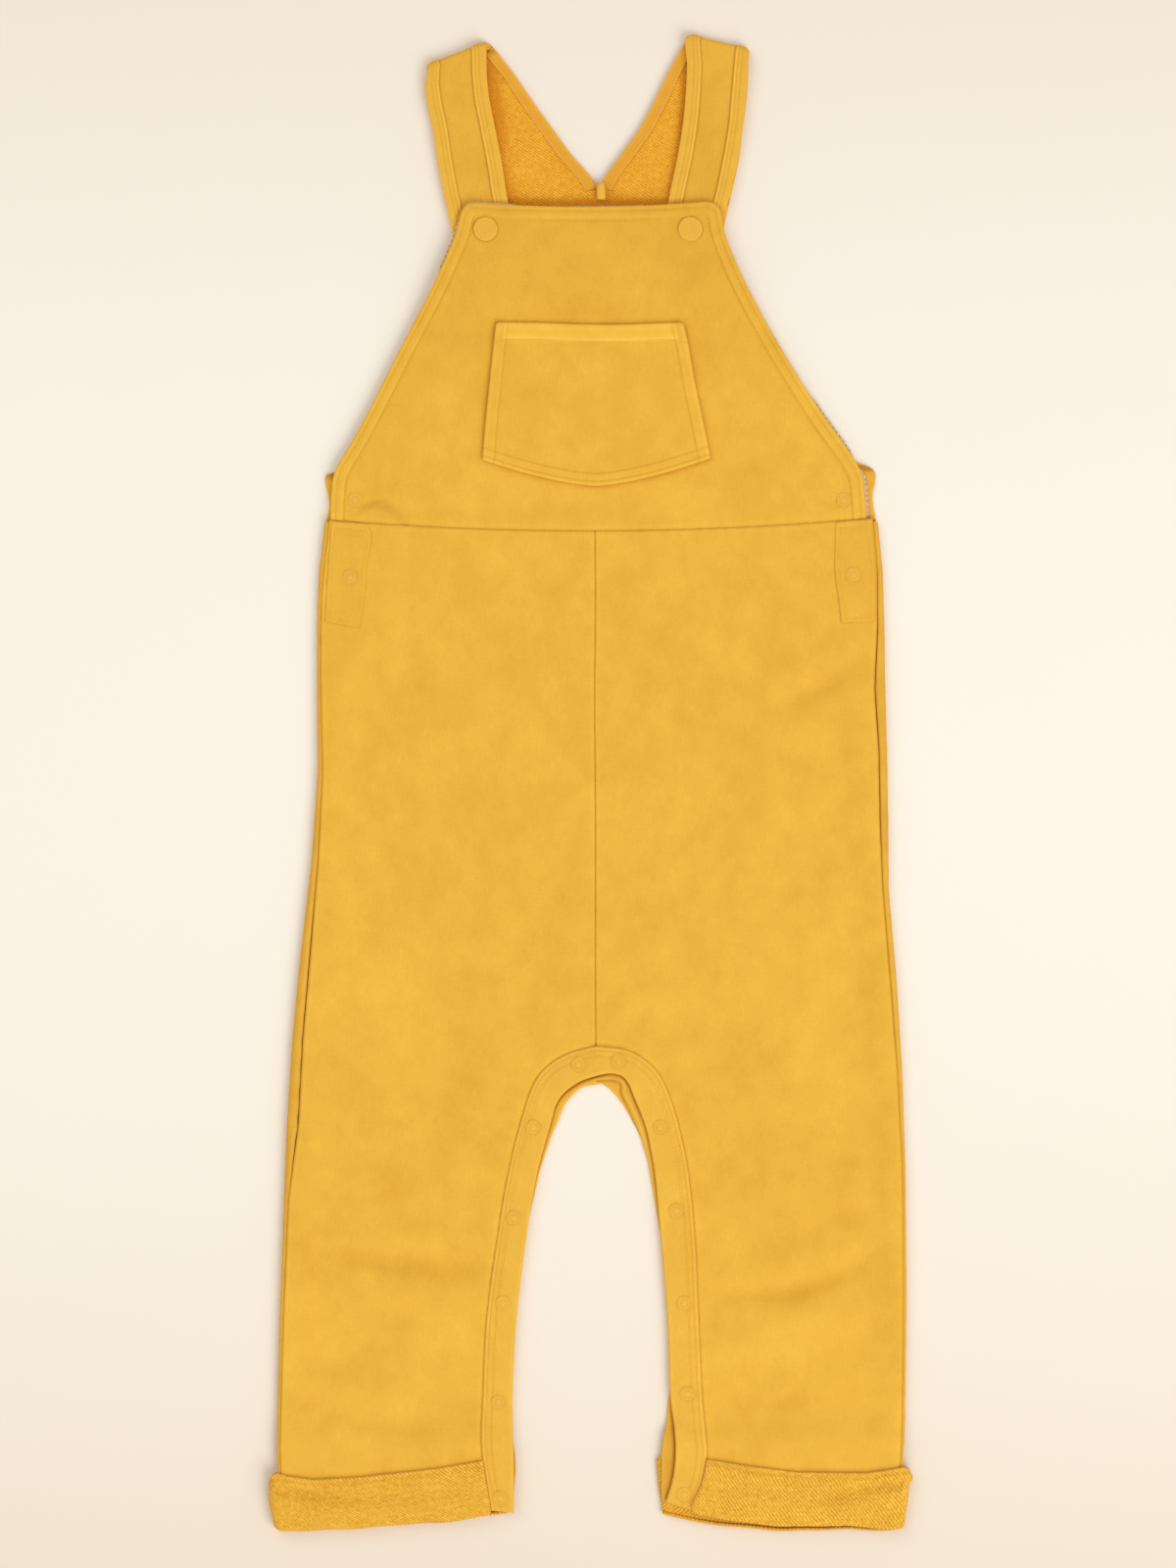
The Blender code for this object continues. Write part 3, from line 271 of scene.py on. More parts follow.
SIDE_LEFT = table(
    Side,
    (118, 123.8, 121.4, 4.8, 24), (98, 126.6, 124, 4.8, 24), (84, 127.3, 125.2, 4.8, 24),
    (72, 127.5, 125.6, 4.8, 24), (50, 127.5, 125.6, 5.4, 4), (5, 127.2, 124.6, 5.6, 3),
    (-35, 130, 126.6, 5.6, 3), (-85, 135.8, 130.6, 5.6, 3), (-120, 139.2, 133.7, 5.6, 3),
    (-160, 141.7, 135.8, 5.6, 3), (-195, 143, 140.6, 5.4, 3), (-250, 145, 143, 5.2, 3),
    (-300, 146.2, 144.4, 4.6, 3), (-314, 146.2, 144.6, 3.6, 3), (-348, 144.8, 143.2, 3.5, 3),
)
SIDE_RIGHT = table(
    Side,
    (118, 135.4, 132.6, 4.8, 24), (98, 137.8, 134.8, 4.8, 24), (72, 138.6, 134.8, 4.8, 24),
    (45, 139, 133.4, 5.4, 4), (15, 139.8, 135.4, 5.6, 3), (-20, 140.4, 136, 5.6, 3),
    (-50, 140.6, 137.4, 5.6, 3), (-94, 144.4, 141, 5.6, 3), (-137, 147, 144.4, 5.6, 3),
    (-180, 148.4, 146.6, 5.4, 3), (-240, 149, 147.2, 5.2, 3), (-300, 148.2, 146.6, 4.6, 3),
    (-314, 147.6, 146, 3.6, 3), (-348, 145.4, 143.8, 3.5, 3),
)
CUFF_LEFT = table(
    Hem,
    (35.8, -316.4, -342, -342.4), (50, -317.4, -343.2, -344), (70.5, -321, -346.4, -347.4),
    (106, -325, -348.6, -349.2), (129, -326.4, -350.2, -351), (141, -324.6, -351, -351.4),
    (145.6, -323.4, -350.8, -351), (148.6, -323.8, -349.4, -349.6), (150.2, -326.4, -347, -347.2),
)
CUFF_RIGHT = table(
    Hem,
    (31.8, -315.4, -341, -341.6), (36.4, -315.4, -341, -343.6), (47.4, -315.6, -341.4, -346),
    (57, -317, -344.4, -348.2), (72.5, -319.6, -346.6, -349.6), (98, -322.8, -348.2, -350.6),
    (130.5, -323.2, -348.8, -350.6), (142, -321.4, -349.6, -350.4), (147.4, -320.4, -349, -349.6),
    (150.6, -321.4, -347.4, -347.8), (151.8, -323.8, -346, -346.2),
)
CUFF_OUTLINE_LEFT = ((0.0, 150.1), (0.5, 150.2), (1.0, 147.9))
CUFF_OUTLINE_RIGHT = ((0.0, 151.6), (0.14, 151.7), (0.32, 150.2), (0.65, 149.4), (1.0, 147.9))
CREASES_LEFT = table(
    Crease,
    (-92, -214, 2, 34, 8, 1.5), (-96, -238, -6, 38, 9, 1.7), (-70, -186, 18, 26, 9, 0.9),
    (-100, -282, 5, 32, 10, 0.8), (-62, 52, 76, 44, 22, 0.8), (-72, -60, 62, 52, 26, 1),
)
FINE_CREASES_LEFT = table(
    Crease,
    (-98, -224.6, -8, 28, 4.2, -1.9, 1.4), (-92, -191.5, 12, 15, 4.4, -0.9),
    (-60, -229, 6, 22, 5, -0.7), (-112, -270, 14, 20, 6, -0.5), (-78, -262, 8, 30, 8, 0.6),
    (-64, -150, 76, 40, 12, -0.6), (-100, -96, 98, 52, 14, 0.6),
)
FINE_CREASES_RIGHT = table(
    Crease,
    (100, -237.5, 14.5, 31, 4.2, -1.7, 4.9), (92, -290, 5, 16, 4.5, -0.8),
    (109.5, 44.5, 31, 15, 3.8, -1.3, 1), (112, -206, 16, 20, 5, -0.6), (76, -268, 10, 30, 8, 0.6),
    (74, -150, 104, 40, 12, -0.6), (108, -100, 84, 52, 14, 0.6),
)
CREASES_RIGHT = table(
    Crease,
    (92, -226, 14, 36, 8, 1.5), (98, -252, 12, 38, 9, 1.6), (102, -286, -4, 30, 9, 0.8),
    (112, 36, 32, 24, 8, 1), (104, 58, 28, 20, 7, 0.8), (70, -50, 112, 54, 26, 1),
)
CUFF_SAG_LEFT = table(
    Crease,
    (-132, -333.2, -6, 19, 2.6, -1.7), (-90, -334, 4, 30, 3.2, -0.8), (-132, -327.5, -4, 18, 2.6, 0.4),
    (-100, -342, 2, 40, 4, 0.4),
)
CUFF_SAG_RIGHT = table(
    Crease,
    (138, -329.6, 2, 11, 2.2, -1.5), (122, -333, 14, 18, 3, -0.9), (84, -331, -4, 30, 3.2, -0.6),
    (100, -341, -2, 40, 4, 0.4),
)


def ease(share: Number) -> Array:
    """Return a smooth step from 0 to 1."""
    share = np.clip(share, 0.0, 1.0)
    return share * share * (3.0 - 2.0 * share)


def mix(start: Number, end: Number, share: Number) -> Array:
    """Return the value between two ends."""
    return start + (end - start) * share


def read(rows: Sequence[NamedTuple], key: str, column: str, value: Number) -> Array:
    """Return one column of a table at values of another, with straight steps between the rows."""
    ordered = sorted((getattr(row, key), getattr(row, column)) for row in rows)
    return np.interp(value, *zip(*ordered))


def evenly(count: float) -> Array:
    """Return about as many shares from 0 to 1, evenly spread."""
    return np.linspace(0.0, 1.0, round(count))


def bell(away: Array, width: float) -> Array:
    """Return 1 on a line, fading smoothly to nothing a width or two away."""
    return np.exp(-((away / width) ** 2))


class Edge:
    """A smooth line through given spots, read by the share of its length."""

    steps = 8

    def __init__(self, spots: Points) -> None:
        """Run the line through the spots.

        Args:
            spots: Points of the plan, in order.
        """
        points = np.array(spots, dtype=float)
        ends = np.vstack([2 * points[0] - points[1], points, 2 * points[-1] - points[-2]])
        t = np.linspace(0.0, 1.0, self.steps, endpoint=False)[:, None]
        runs = [
            start
            + 0.5 * (end - before) * t
            + (before - 2.5 * start + 2 * end - 0.5 * after) * t**2
            + 0.5 * (3 * start - before - 3 * end + after) * t**3
            for before, start, end, after in zip(ends, ends[1:], ends[2:], ends[3:])
        ]
        self.points = np.vstack([*runs, points[-1:]])
        self.reach = lengths(self.points)

    @property
    def length(self) -> float:
        """The length of the line."""
        return float(self.reach[-1])

    def at(self, share: Number) -> Array:
        """Return the points at shares of the line's length."""
        target = np.clip(share, 0.0, 1.0) * self.length
        return np.stack([np.interp(target, self.reach, axis) for axis in self.points.T], axis=-1)


def lengths(line: Array) -> Array:
    """Return how far along a line each of its points lies."""
    steps = np.linalg.norm(np.diff(line, axis=0), axis=1)
    return np.concatenate([[0.0], np.cumsum(steps)])


def sides(sections: Sequence[Section]) -> tuple[Edge, Edge]:
    """Return the left and right edges of a table of sections."""
    return Edge([row[:2] for row in sections]), Edge([row[2:] for row in sections])


def respaced(line: Array, pitch: float) -> Array:
    """Return the line with its points an even pitch apart.

    Args:
        line: The line's points.
        pitch: How far apart they should be.

    Returns:
        The new points.
    """
    reach = lengths(line)
    target = np.linspace(0.0, reach[-1], max(2, round(reach[-1] / pitch) + 1))
    return np.stack([np.interp(target, reach, axis) for axis in line.T], axis=-1)


def inset(line: Array, distance: float) -> Array:
    """Return a line moved to its own right by a distance.

    Args:
        line: Points of the plan.
        distance: How far to move it; below zero moves it left.

    Returns:
        The moved line, with a point every millimetre.
    """
    even = respaced(line, 1.0)
    run = np.gradient(even, axis=0)
    kernel = np.ones(3) / 3.0
    for axis in (0, 1):
        padded = np.pad(run[:, axis], 1, mode="edge")
        run[:, axis] = np.convolve(padded, kernel, mode="valid")
    run /= np.linalg.norm(run, axis=1)[:, None]
    return even + np.stack([run[:, 1], -run[:, 0]], axis=-1) * distance


def nearest(x: Array, y: Array, line: Array) -> tuple[Array, Array]:
    """Measure points of the plan against a line.

    Args:
        x: Across the garment.
        y: Along the garment.
        line: The line's points.

    Returns:
        How far each point is from the line, and how far along the line its foot lies.
    """
    distance = np.full(x.shape, np.inf)
    along = np.zeros(x.shape)
    passed = 0.0
    for start, end in zip(line[:-1], line[1:]):
        run = end - start
        size = float(np.hypot(*run))
        if size < 1e-6:
            continue
        part = np.clip(((x - start[0]) * run[0] + (y - start[1]) * run[1]) / size**2, 0.0, 1.0)
        away = np.hypot(x - start[0] - part * run[0], y - start[1] - part * run[1])
        closer = away < distance
        distance = np.where(closer, away, distance)
        along = np.where(closer, passed + part * size, along)
        passed += size
    return distance, along


def stations(width: Number, margin: Sequence[float], pitch: float) -> Array:
    """Set out shares across a width: close by its two edges and even between them.

    Args:
        width: One width, or one for each row, in millimetres.
        margin: Distances in from an edge at which points stand.
        pitch: How far apart the points between are.

    Returns:
        Rows of shares from 0 to 1.
    """
    wide = np.atleast_1d(np.asarray(width, dtype=float))[:, None]
    close = np.asarray(margin)[None, :] * np.minimum(1.0, 0.45 * wide / margin[-1])
    count = max(2, round((wide.max() - 2 * margin[-1]) / pitch))
    inner = evenly(count + 1)[None, 1:-1]
    middle = close[:, -1:] + (wide - 2 * close[:, -1:]) * inner
    return np.hstack([close, middle, (wide - close)[:, ::-1]]) / wide


def ruled(left: Array, right: Array, shares: Array) -> Array:
    """Return points between matching points of two lines, at shares given for each row."""
    return left[:, None, :] + (right - left)[:, None, :] * shares[..., None]


def panel(
    sections: Sequence[Section], ends: Sequence[float], edges: Sequence[float], pitches: Pair
) -> Array:
    """Set out the points of a panel, with rows from its first section to its last.

    Args:
        sections: The panel's table.
        ends: Distances in from the first and last rows at which more rows stand.
        edges: Distances in from the two sides at which points stand.
        pitches: How far apart the rows between are, and the points between.

    Returns:
        Rows of points.
    """
    left, right = sides(sections)
    up = stations(left.length, ends, pitches[0])[0]
    starts, stops = left.at(up), right.at(up)
    shares = stations(np.linalg.norm(stops - starts, axis=1), edges, pitches[1])
    return ruled(starts, stops, shares)


def bend_end(plan: Array, curve: Callable[[Array], Array], reach: float, last: bool) -> None:
    """Bring a plan's first or last row onto a curve; the rows within reach follow it.

    Args:
        plan: Rows of points, changed in place.
        curve: The curve's Y at each X.
        reach: How far from the end the change dies away.
        last: Whether the end is the last row.
    """
    end = plan[-1 if last else 0].copy()
    shift = curve(end[:, 0]) - end[:, 1]
    away = np.abs(plan[:, :, 1] - end[:, 1])
    plan[:, :, 1] += shift * (1.0 - ease(away / reach))


def crease_height(creases: Sequence[Crease], x: Array, y: Array) -> Array:
    """Return the height of the soft ridges and troughs at points of the plan.

    Args:
        creases: The ridges and troughs.
        x: The points' places across.
        y: The points' places up.

    Returns:
        A height for each point.
    """
    height = np.zeros(np.shape(x))
    for crease in creases:
        turn = math.radians(crease.turn)
        along = (x - crease.x) * math.cos(turn) + (y - crease.y) * math.sin(turn)
        across = (y - crease.y) * math.cos(turn) - (x - crease.x) * math.sin(turn)
        across = across - crease.bow * (along / crease.half_length) ** 2
        height += crease.height * bell(along, crease.half_length) * bell(across, crease.half_width)
    return height


def drape(x: Array, y: Array, seed: int, height: float, shortest: float, longest: float) -> Array:
    """Return the slight waviness of cloth that has been smoothed by hand.

    Args:
        x: Across the garment.
        y: Along the garment.
        seed: Picks the waves.
        height: The usual height of the waves.
        shortest: The shortest wave, in millimetres.
        longest: The longest wave, in millimetres.

    Returns:
        The height at each point.
    """
    chance = np.random.default_rng(seed)
    total = np.zeros(np.shape(x))
    count = 9
    for wave in np.geomspace(shortest, longest, count):
        turn, start = chance.uniform(0.0, 2 * math.pi, 2)
        along = x * math.cos(turn) + y * math.sin(turn)
        total += np.sin(2 * math.pi * along / wave + start) * (wave / longest) ** 0.6
    return height * total / math.sqrt(count)


def puckers(away: Array, along: Array, reach: float, wave: float, height: float, seed: float) -> Array:
    """Return the small gathers that a line of sewing draws into the cloth.

    Args:
        away: Distance from the line.
        along: Distance along the line.
        reach: How far from the line the gathers last.
        wave: How far apart they are.
        height: How high they stand.
        seed: Shifts them, so that no two lines match.

    Returns:
        The height at each point.
    """
    drift = 1.3 * np.sin(along / (2.7 * wave) + seed) + 0.8 * np.sin(along / (1.31 * wave) + 2.1 * seed)
    strength = 0.6 + 0.4 * np.sin(along / (3.9 * wave) + 1.7 * seed)
    return height * strength * bell(away, reach) * np.sin(2 * math.pi * along / wave + drift)


def quarter_round(distance: Array, reach: float) -> Array:
    """Return 0 at an edge, rising to 1 a reach inside it, on a quarter circle."""
    inside = np.clip(distance / reach, 0.0, 1.0)
    return np.sqrt(1.0 - (1.0 - inside) ** 2)


@dataclass
class Wall:
    """A wall of cloth, as rows and columns of points on its face and on its reverse."""

    face: Array
    reverse: Array
    weave: Array | None = None
    plain: Array | None = None
    # Wear and painted shade: above zero paler from painted highlights and rubbed dye, below zero deeper
    # from painted shade and dye
    wear: Array = field(init=False)
    # The share of the wear and painted shade that the reverse takes
    reverse_wear: float = 0.3
    rim: float = 0.12

    def __post_init__(self) -> None:
        """Start with cloth that has no wear and no painted shade, woven straight along the plan."""
        self.wear = np.zeros(self.face.shape[:2])
        if self.weave is None:
            self.weave = self.face[..., :2].copy()

    @classmethod
    def over(cls, plan: Array, bottom: Number, thickness: Number) -> Wall:
        """Lay a wall flat over a plan.

        Args:
            plan: The points of the plan.
            bottom: The height of the lower face.
            thickness: How thick the cloth is.

        Returns:
            The wall.
        """
        bottom = np.broadcast_to(bottom, plan.shape[:2])
        top = bottom + thickness
        return cls(np.dstack([plan, top]), np.dstack([plan, bottom]))

    @property
    def x(self) -> Array:
        """Across the garment, on the face."""
        return self.face[..., 0]

    @property
    def y(self) -> Array:
        """Along the garment, on the face."""
        return self.face[..., 1]

    def from_line(self, line: Array, pitch: float = 2.0) -> tuple[Array, Array]:
        """Return how far each point is from a line of the plan, and how far along the line."""
        return nearest(self.x, self.y, respaced(line, pitch))

    def outward(self) -> Array:
        """Return the direction from the reverse to the face at each point."""
        run = self.face - self.reverse
        return run / np.maximum(np.linalg.norm(run, axis=-1, keepdims=True), 1e-6)

    def across(self) -> Array:
        """Return how far across the face each point of a row lies."""
        steps = np.linalg.norm(np.diff(self.face, axis=1), axis=-1)
        return np.concatenate([np.zeros((len(steps), 1)), np.cumsum(steps, axis=1)], axis=1)

    def weave_along(self) -> None:
        """Let the weave follow the cloth's own length and width."""
        across = self.across()
        across -= across[:, -1:] / 2
        middle = self.face[:, self.face.shape[1] // 2]
        along = np.broadcast_to(lengths(middle)[:, None], across.shape)
        self.weave = np.dstack([across, along])

    def round_rim(self, distance: Array, reach: float) -> None:
        """Thin the cloth towards an edge, so that the edge is round.

        Args:
            distance: How far each point is from the edge.
            reach: How far in the rounding goes.
        """
        middle = (self.face + self.reverse) / 2
        keep = (self.rim + (1.0 - self.rim) * quarter_round(distance, reach))[..., None]
        self.face = middle + (self.face - middle) * keep
        self.reverse = middle + (self.reverse - middle) * keep

    def emboss(self, height: Array) -> None:
        """Raise the face alone."""
        self.face = self.face + self.outward() * height[..., None]

    def lift(self, height: Array) -> None:
        """Raise the whole cloth."""
        for layer in (self.face, self.reverse):
            layer[..., 2] += height

    def fold(self, creases: Sequence[Crease], share: Number = 1.0) -> None:
        """Fold the cloth softly, with painted shade in its troughs and a painted highlight on its ridges.

        Args:
            creases: The ridges and troughs.
            share: How much of their height it takes.
        """
        height = crease_height(creases, self.x, self.y) * share
        self.lift(height)
        # Painted shade in the troughs, painted highlight on the ridges
        self.wear += 0.17 * np.clip(height, -1.6, 0.6)

    def sink_seam(self, distance: Array, reach: float, depth: float, shade: float) -> None:
        """Turn the face down into a seam from within a reach of it, paint shade into its bottom and a
        faint highlight where it starts to turn.

        Args:
            distance: How far each point is from the seam.
            reach: How far from the seam the cloth starts to turn.
            depth: How deep it goes.
            shade: How much darker the bottom of the seam is.
        """
        self.emboss(-depth * (1.0 - quarter_round(distance, reach)))
        # Painted shade at the bottom of the seam, painted highlight on its shoulder
        self.wear -= shade * bell(distance, 0.42 * reach)
        self.wear += 0.1 * bell(distance - 0.9 * reach, 0.5 * reach)

    def press_row(self, distance: Array, width: float, depth: float, shade: float) -> None:
        """Press the channel of a row of stitches into the face, and paint shade into it."""
        self.emboss(-depth * bell(distance, width))
        # Painted shade in the channel
        self.wear -= shade * bell(distance, width * 0.9)

    def raise_hem(self, distance: Array, width: float, height: float) -> None:
        """Thicken the cloth between its edge and a hem's inner line, with a painted highlight that is
        strongest on its inner ridge.

        Args:
            distance: How far each point is from the edge.
            width: How wide the hem is.
            height: How much thicker it is.
        """
        inside = 1.0 - ease((distance - width + 0.8) / 1.4)
        self.emboss(height * inside)
        # Painted highlight on the raised hem, strongest on its inner ridge
        self.wear += 0.12 * bell(distance - width + 0.9, 0.7) + 0.05 * inside

    def make(self, name: str, slot: Slot, node: str, *finishes: Material) -> Object:
        """Make the wall's mesh and its object, and fasten it to the frame.

        Args:
            name: The object's name.
            slot: The record's slot for its finish, passed on to settle.
            node: The CAD node that it stands for.
            finishes: The finish of the face, and then that of the reverse if it differs.

        Returns:
            The object, at the origin, in metres.
        """
        rows, columns = self.face.shape[:2]
        mesh = bmesh.new()
        bmesh.ops.create_grid(mesh, x_segments=columns - 1, y_segments=rows - 1, size=0.5)
        copied = bmesh.ops.extrude_face_region(mesh, geom=mesh.faces[:])
        upper = [item for item in copied["geom"] if isinstance(item, bmesh.types.BMVert)]
        bmesh.ops.translate(mesh, verts=upper, vec=(0.0, 0.0, 1.0))
        bmesh.ops.recalc_face_normals(mesh, faces=mesh.faces)
        data = mesh_data(name, mesh, *finishes)
        unit = gathered(data.vertices, "co", 3)
        column = np.rint((unit[:, 0] + 0.5) * (columns - 1)).astype(int)
        row = np.rint((unit[:, 1] + 0.5) * (rows - 1)).astype(int)
        on_face = unit[:, 2] > 0.5
        centres = gathered(data.polygons, "center", 3)
        place = np.where(on_face[:, None], self.face[row, column], self.reverse[row, column])
        place[:, :2] -= BOX_CENTRE
        data.vertices.foreach_set("co", (place * MM).astype(np.float32).ravel())
        give_map(data, self.weave[row, column] * MM)
        # The wear and painted shade, of which the reverse takes only a share
        give_wear_and_shade(data, self.wear[row, column] * np.where(on_face, 1.0, self.reverse_wear))
        if len(finishes) > 1:
            under = centres[:, 2] < 0.25
            if self.plain is not None:
                row = np.clip(((centres[:, 1] + 0.5) * (rows - 1)).astype(int), 0, rows - 1)
                column = np.clip(((centres[:, 0] + 0.5) * (columns - 1)).astype(int), 0, columns - 1)
                under &= ~self.plain[row, column]
            data.polygons.foreach_set("material_index", under.astype(np.int32))
        turn_outwards(data)
        return settle(link(data), slot, node)


def mesh_data(name: str, mesh: bmesh.types.BMesh, *finishes: Material) -> Mesh:
    """Turn a bmesh into smooth mesh data with its finishes, and free it.

    Args:
        name: The mesh's name.
        mesh: The bmesh.
        finishes: Its finishes, in the order of its material slots.

    Returns:
        The mesh data.
    """
    data = bpy.data.meshes.new(name)
    mesh.to_mesh(data)
    mesh.free()
    for finish in finishes:
        data.materials.append(finish)
    data.shade_smooth()
    return data


def gathered(items: bpy_prop_collection, key: str, width: int, kind: type = np.float32) -> Array:
    """Return one property of all of a mesh's items, with a row for each of them.

    Args:
        items: The mesh's items.
        key: The property's name.
        width: How many numbers it has for each item.
        kind: The type of those numbers.

    Returns:
        The numbers.
    """
    values = np.empty(len(items) * width, dtype=kind)
    items.foreach_get(key, values)
    return values.reshape(-1, width)


def give_map(data: Mesh, places: Array) -> None:
    """Write the weave's own coordinates, in metres, as the mesh's UV map.

    Args:
        data: The mesh.
        places: A place in the weave for each vertex.
    """
    corners = gathered(data.loops, "vertex_index", 1, np.int32)[:, 0]
    layer = data.uv_layers.new(name="weave")
    layer.data.foreach_set("uv", places[corners].astype(np.float32).ravel())


def give_wear_and_shade(data: Mesh, wear: Array) -> None:
    """Write each point's wear and painted shade: above zero paler from wear and painted highlights, below
    zero deeper from dye and painted shade.
    """
    layer = data.attributes.new("wear", "FLOAT", "POINT")
    layer.data.foreach_set("value", np.clip(wear, -1.0, 1.0).astype(np.float32))


def turn_outwards(data: Mesh) -> None:
    """Flip a closed mesh whose faces point inwards.

    Args:
        data: The mesh.
    """
    data.calc_loop_triangles()
    corners = gathered(data.loop_triangles, "vertices", 3, np.int32)
    a, b, c = gathered(data.vertices, "co", 3).astype(float)[corners].transpose(1, 0, 2)
    if (a * np.cross(b, c)).sum() < 0:
        data.flip_normals()


def link(data: Mesh) -> Object:
    """Put a mesh into the scene as an object of its name, at the origin.

    Args:
        data: The mesh.

    Returns:
        The object.
    """
    made = bpy.data.objects.new(data.name, data)
    bpy.context.collection.objects.link(made)
    return made


class Surface:
    """The upper side of a finished piece, to lay threads on."""

    def __init__(self, piece: Object) -> None:
        """Read the piece's mesh.

        Args:
            piece: The object whose surface it is.
        """
        data = piece.data
        self.tree = BVHTree.FromPolygons(
            [vert.co for vert in data.vertices], [face.vertices for face in data.polygons]
        )

    def height(self, x: float, y: float) -> float | None:
        """Return how high the surface is at a place of the plan, or None off it.

        Args:
            x: The place across.
            y: The place up.

        Returns:
            The height in millimetres, or None.
        """
        above = Vector(((x - BOX_CENTRE[0]) * MM, (y - BOX_CENTRE[1]) * MM, 1.0))
        hit = self.tree.ray_cast(above, Vector((0.0, 0.0, -1.0)))[0]
        return None if hit is None else hit.z / MM


@dataclass
class Sewing:
    """Threads laid on finished pieces and gathered into one mesh."""

    name: str
    finish: Material
    stitch: float = 1.15
    gap: float = 0.65
    width: float = 0.42
    sunk: float = 0.05
    rib_width: float = 0.6
    mesh: bmesh.types.BMesh = field(default_factory=bmesh.new)

    def lay(self, start: Array, end: Array, width: float) -> None:
        """Lay one thread from point to point, in millimetres.

        Args:
            start: Where the thread starts.
            end: Where it ends.
            width: How thick it is.
        """
        first = Vector(start)
        last = Vector(end)
        run = last - first
        turn = run.to_track_quat("X", "Z").to_matrix().to_4x4()
        size = Matrix.Diagonal((run.length / 2 + 0.15, width / 2, width / 2, 1.0))
        place = Matrix.Translation((first + last) / 2)
        bmesh.ops.create_icosphere(self.mesh, subdivisions=1, radius=1.0, matrix=place @ turn @ size)

    def rows(self, lines: Sequence[Array], *cloths: Surface) -> None:
        """Sew a row of stitches along each of some lines of the plan.

        Args:
            lines: The points of each line.
            cloths: What they are sewn to, taken in turn.
        """
        pitch = self.stitch + self.gap
        for line, cloth in zip(lines, cycle(cloths)):
            reach = lengths(line)
            for index in range(int(reach[-1] // pitch)):
                start = index * pitch + self.gap / 2
                ends = (start, start + self.stitch)
                spots = [[float(np.interp(at, reach, axis)) for axis in line.T] for at in ends]
                self.span(spots, cloth, self.width, self.sunk)

    def span(self, spots: Sequence[Array], cloth: Surface, width: float, sunk: float) -> None:
        """Lay a thread, sunk so deep, between two spots of a cloth, unless one of them is off it.

        Args:
            spots: The two spots of the plan.
            cloth: What it is sewn to.
            width: How thick it is.
            sunk: How deep it sinks into the cloth.
        """
        heights = [cloth.height(*spot) for spot in spots]
        if None not in heights:
            self.lay(*((*spot, height - sunk) for spot, height in zip(spots, heights)), width)

    def ribs(self, line: Array, cloth: Surface, depth: float, pitch: float, sunk: float) -> None:
        """Lay threads side by side across a strip below a line, as a coverstitch does.

        Args:
            line: The strip's upper edge, from left to right.
            cloth: What it is sewn to.
            depth: How wide the strip is, to the right of the line.
            pitch: How far apart the threads are.
            sunk: How deep they sink into the cloth.
        """
        upper = respaced(line, pitch)
        for spots in zip(upper, inset_same(upper, depth)):
            self.span(spots, cloth, self.rib_width, sunk)

    def finish_off(self) -> Object:
        """Make the threads' object.

        Returns:
            The object.
        """
        bmesh.ops.translate(self.mesh, verts=self.mesh.verts, vec=(-BOX_CENTRE[0], -BOX_CENTRE[1], 0.0))
        bmesh.ops.scale(self.mesh, verts=self.mesh.verts, vec=(MM, MM, MM))
        return link(mesh_data(self.name, self.mesh, self.finish))


class Wire:
    """A number carried between shader nodes, with Python's own arithmetic."""

    def __init__(self, board: Board, socket: NodeSocket) -> None:
        """Hold the socket that the number comes out of."""
        self.board = board
        self.socket = socket

    def __add__(self, other: Wire | float) -> Wire:
        """Return the sum."""
        return self.board.maths("ADD", self, other)

    __radd__ = __add__

    def __sub__(self, other: Wire | float) -> Wire:
        """Return the difference."""
        return self.board.maths("SUBTRACT", self, other)

    def __rsub__(self, other: Wire | float) -> Wire:
        """Return the difference, the other way round."""
        return self.board.maths("SUBTRACT", other, self)

    def __mul__(self, other: Wire | float) -> Wire:
        """Return the product."""
        return self.board.maths("MULTIPLY", self, other)

    def clamped(self) -> Wire:
        """Return the number, kept between 0 and 1."""
        return self.board.maths("MINIMUM", self.board.maths("MAXIMUM", self, 0.0), 1.0)

    def wave(self) -> Wire:
        """Return half a sine of the number plus a half, so that it runs from 0 to 1."""
        return self.board.maths("SINE", self) * 0.5 + 0.5


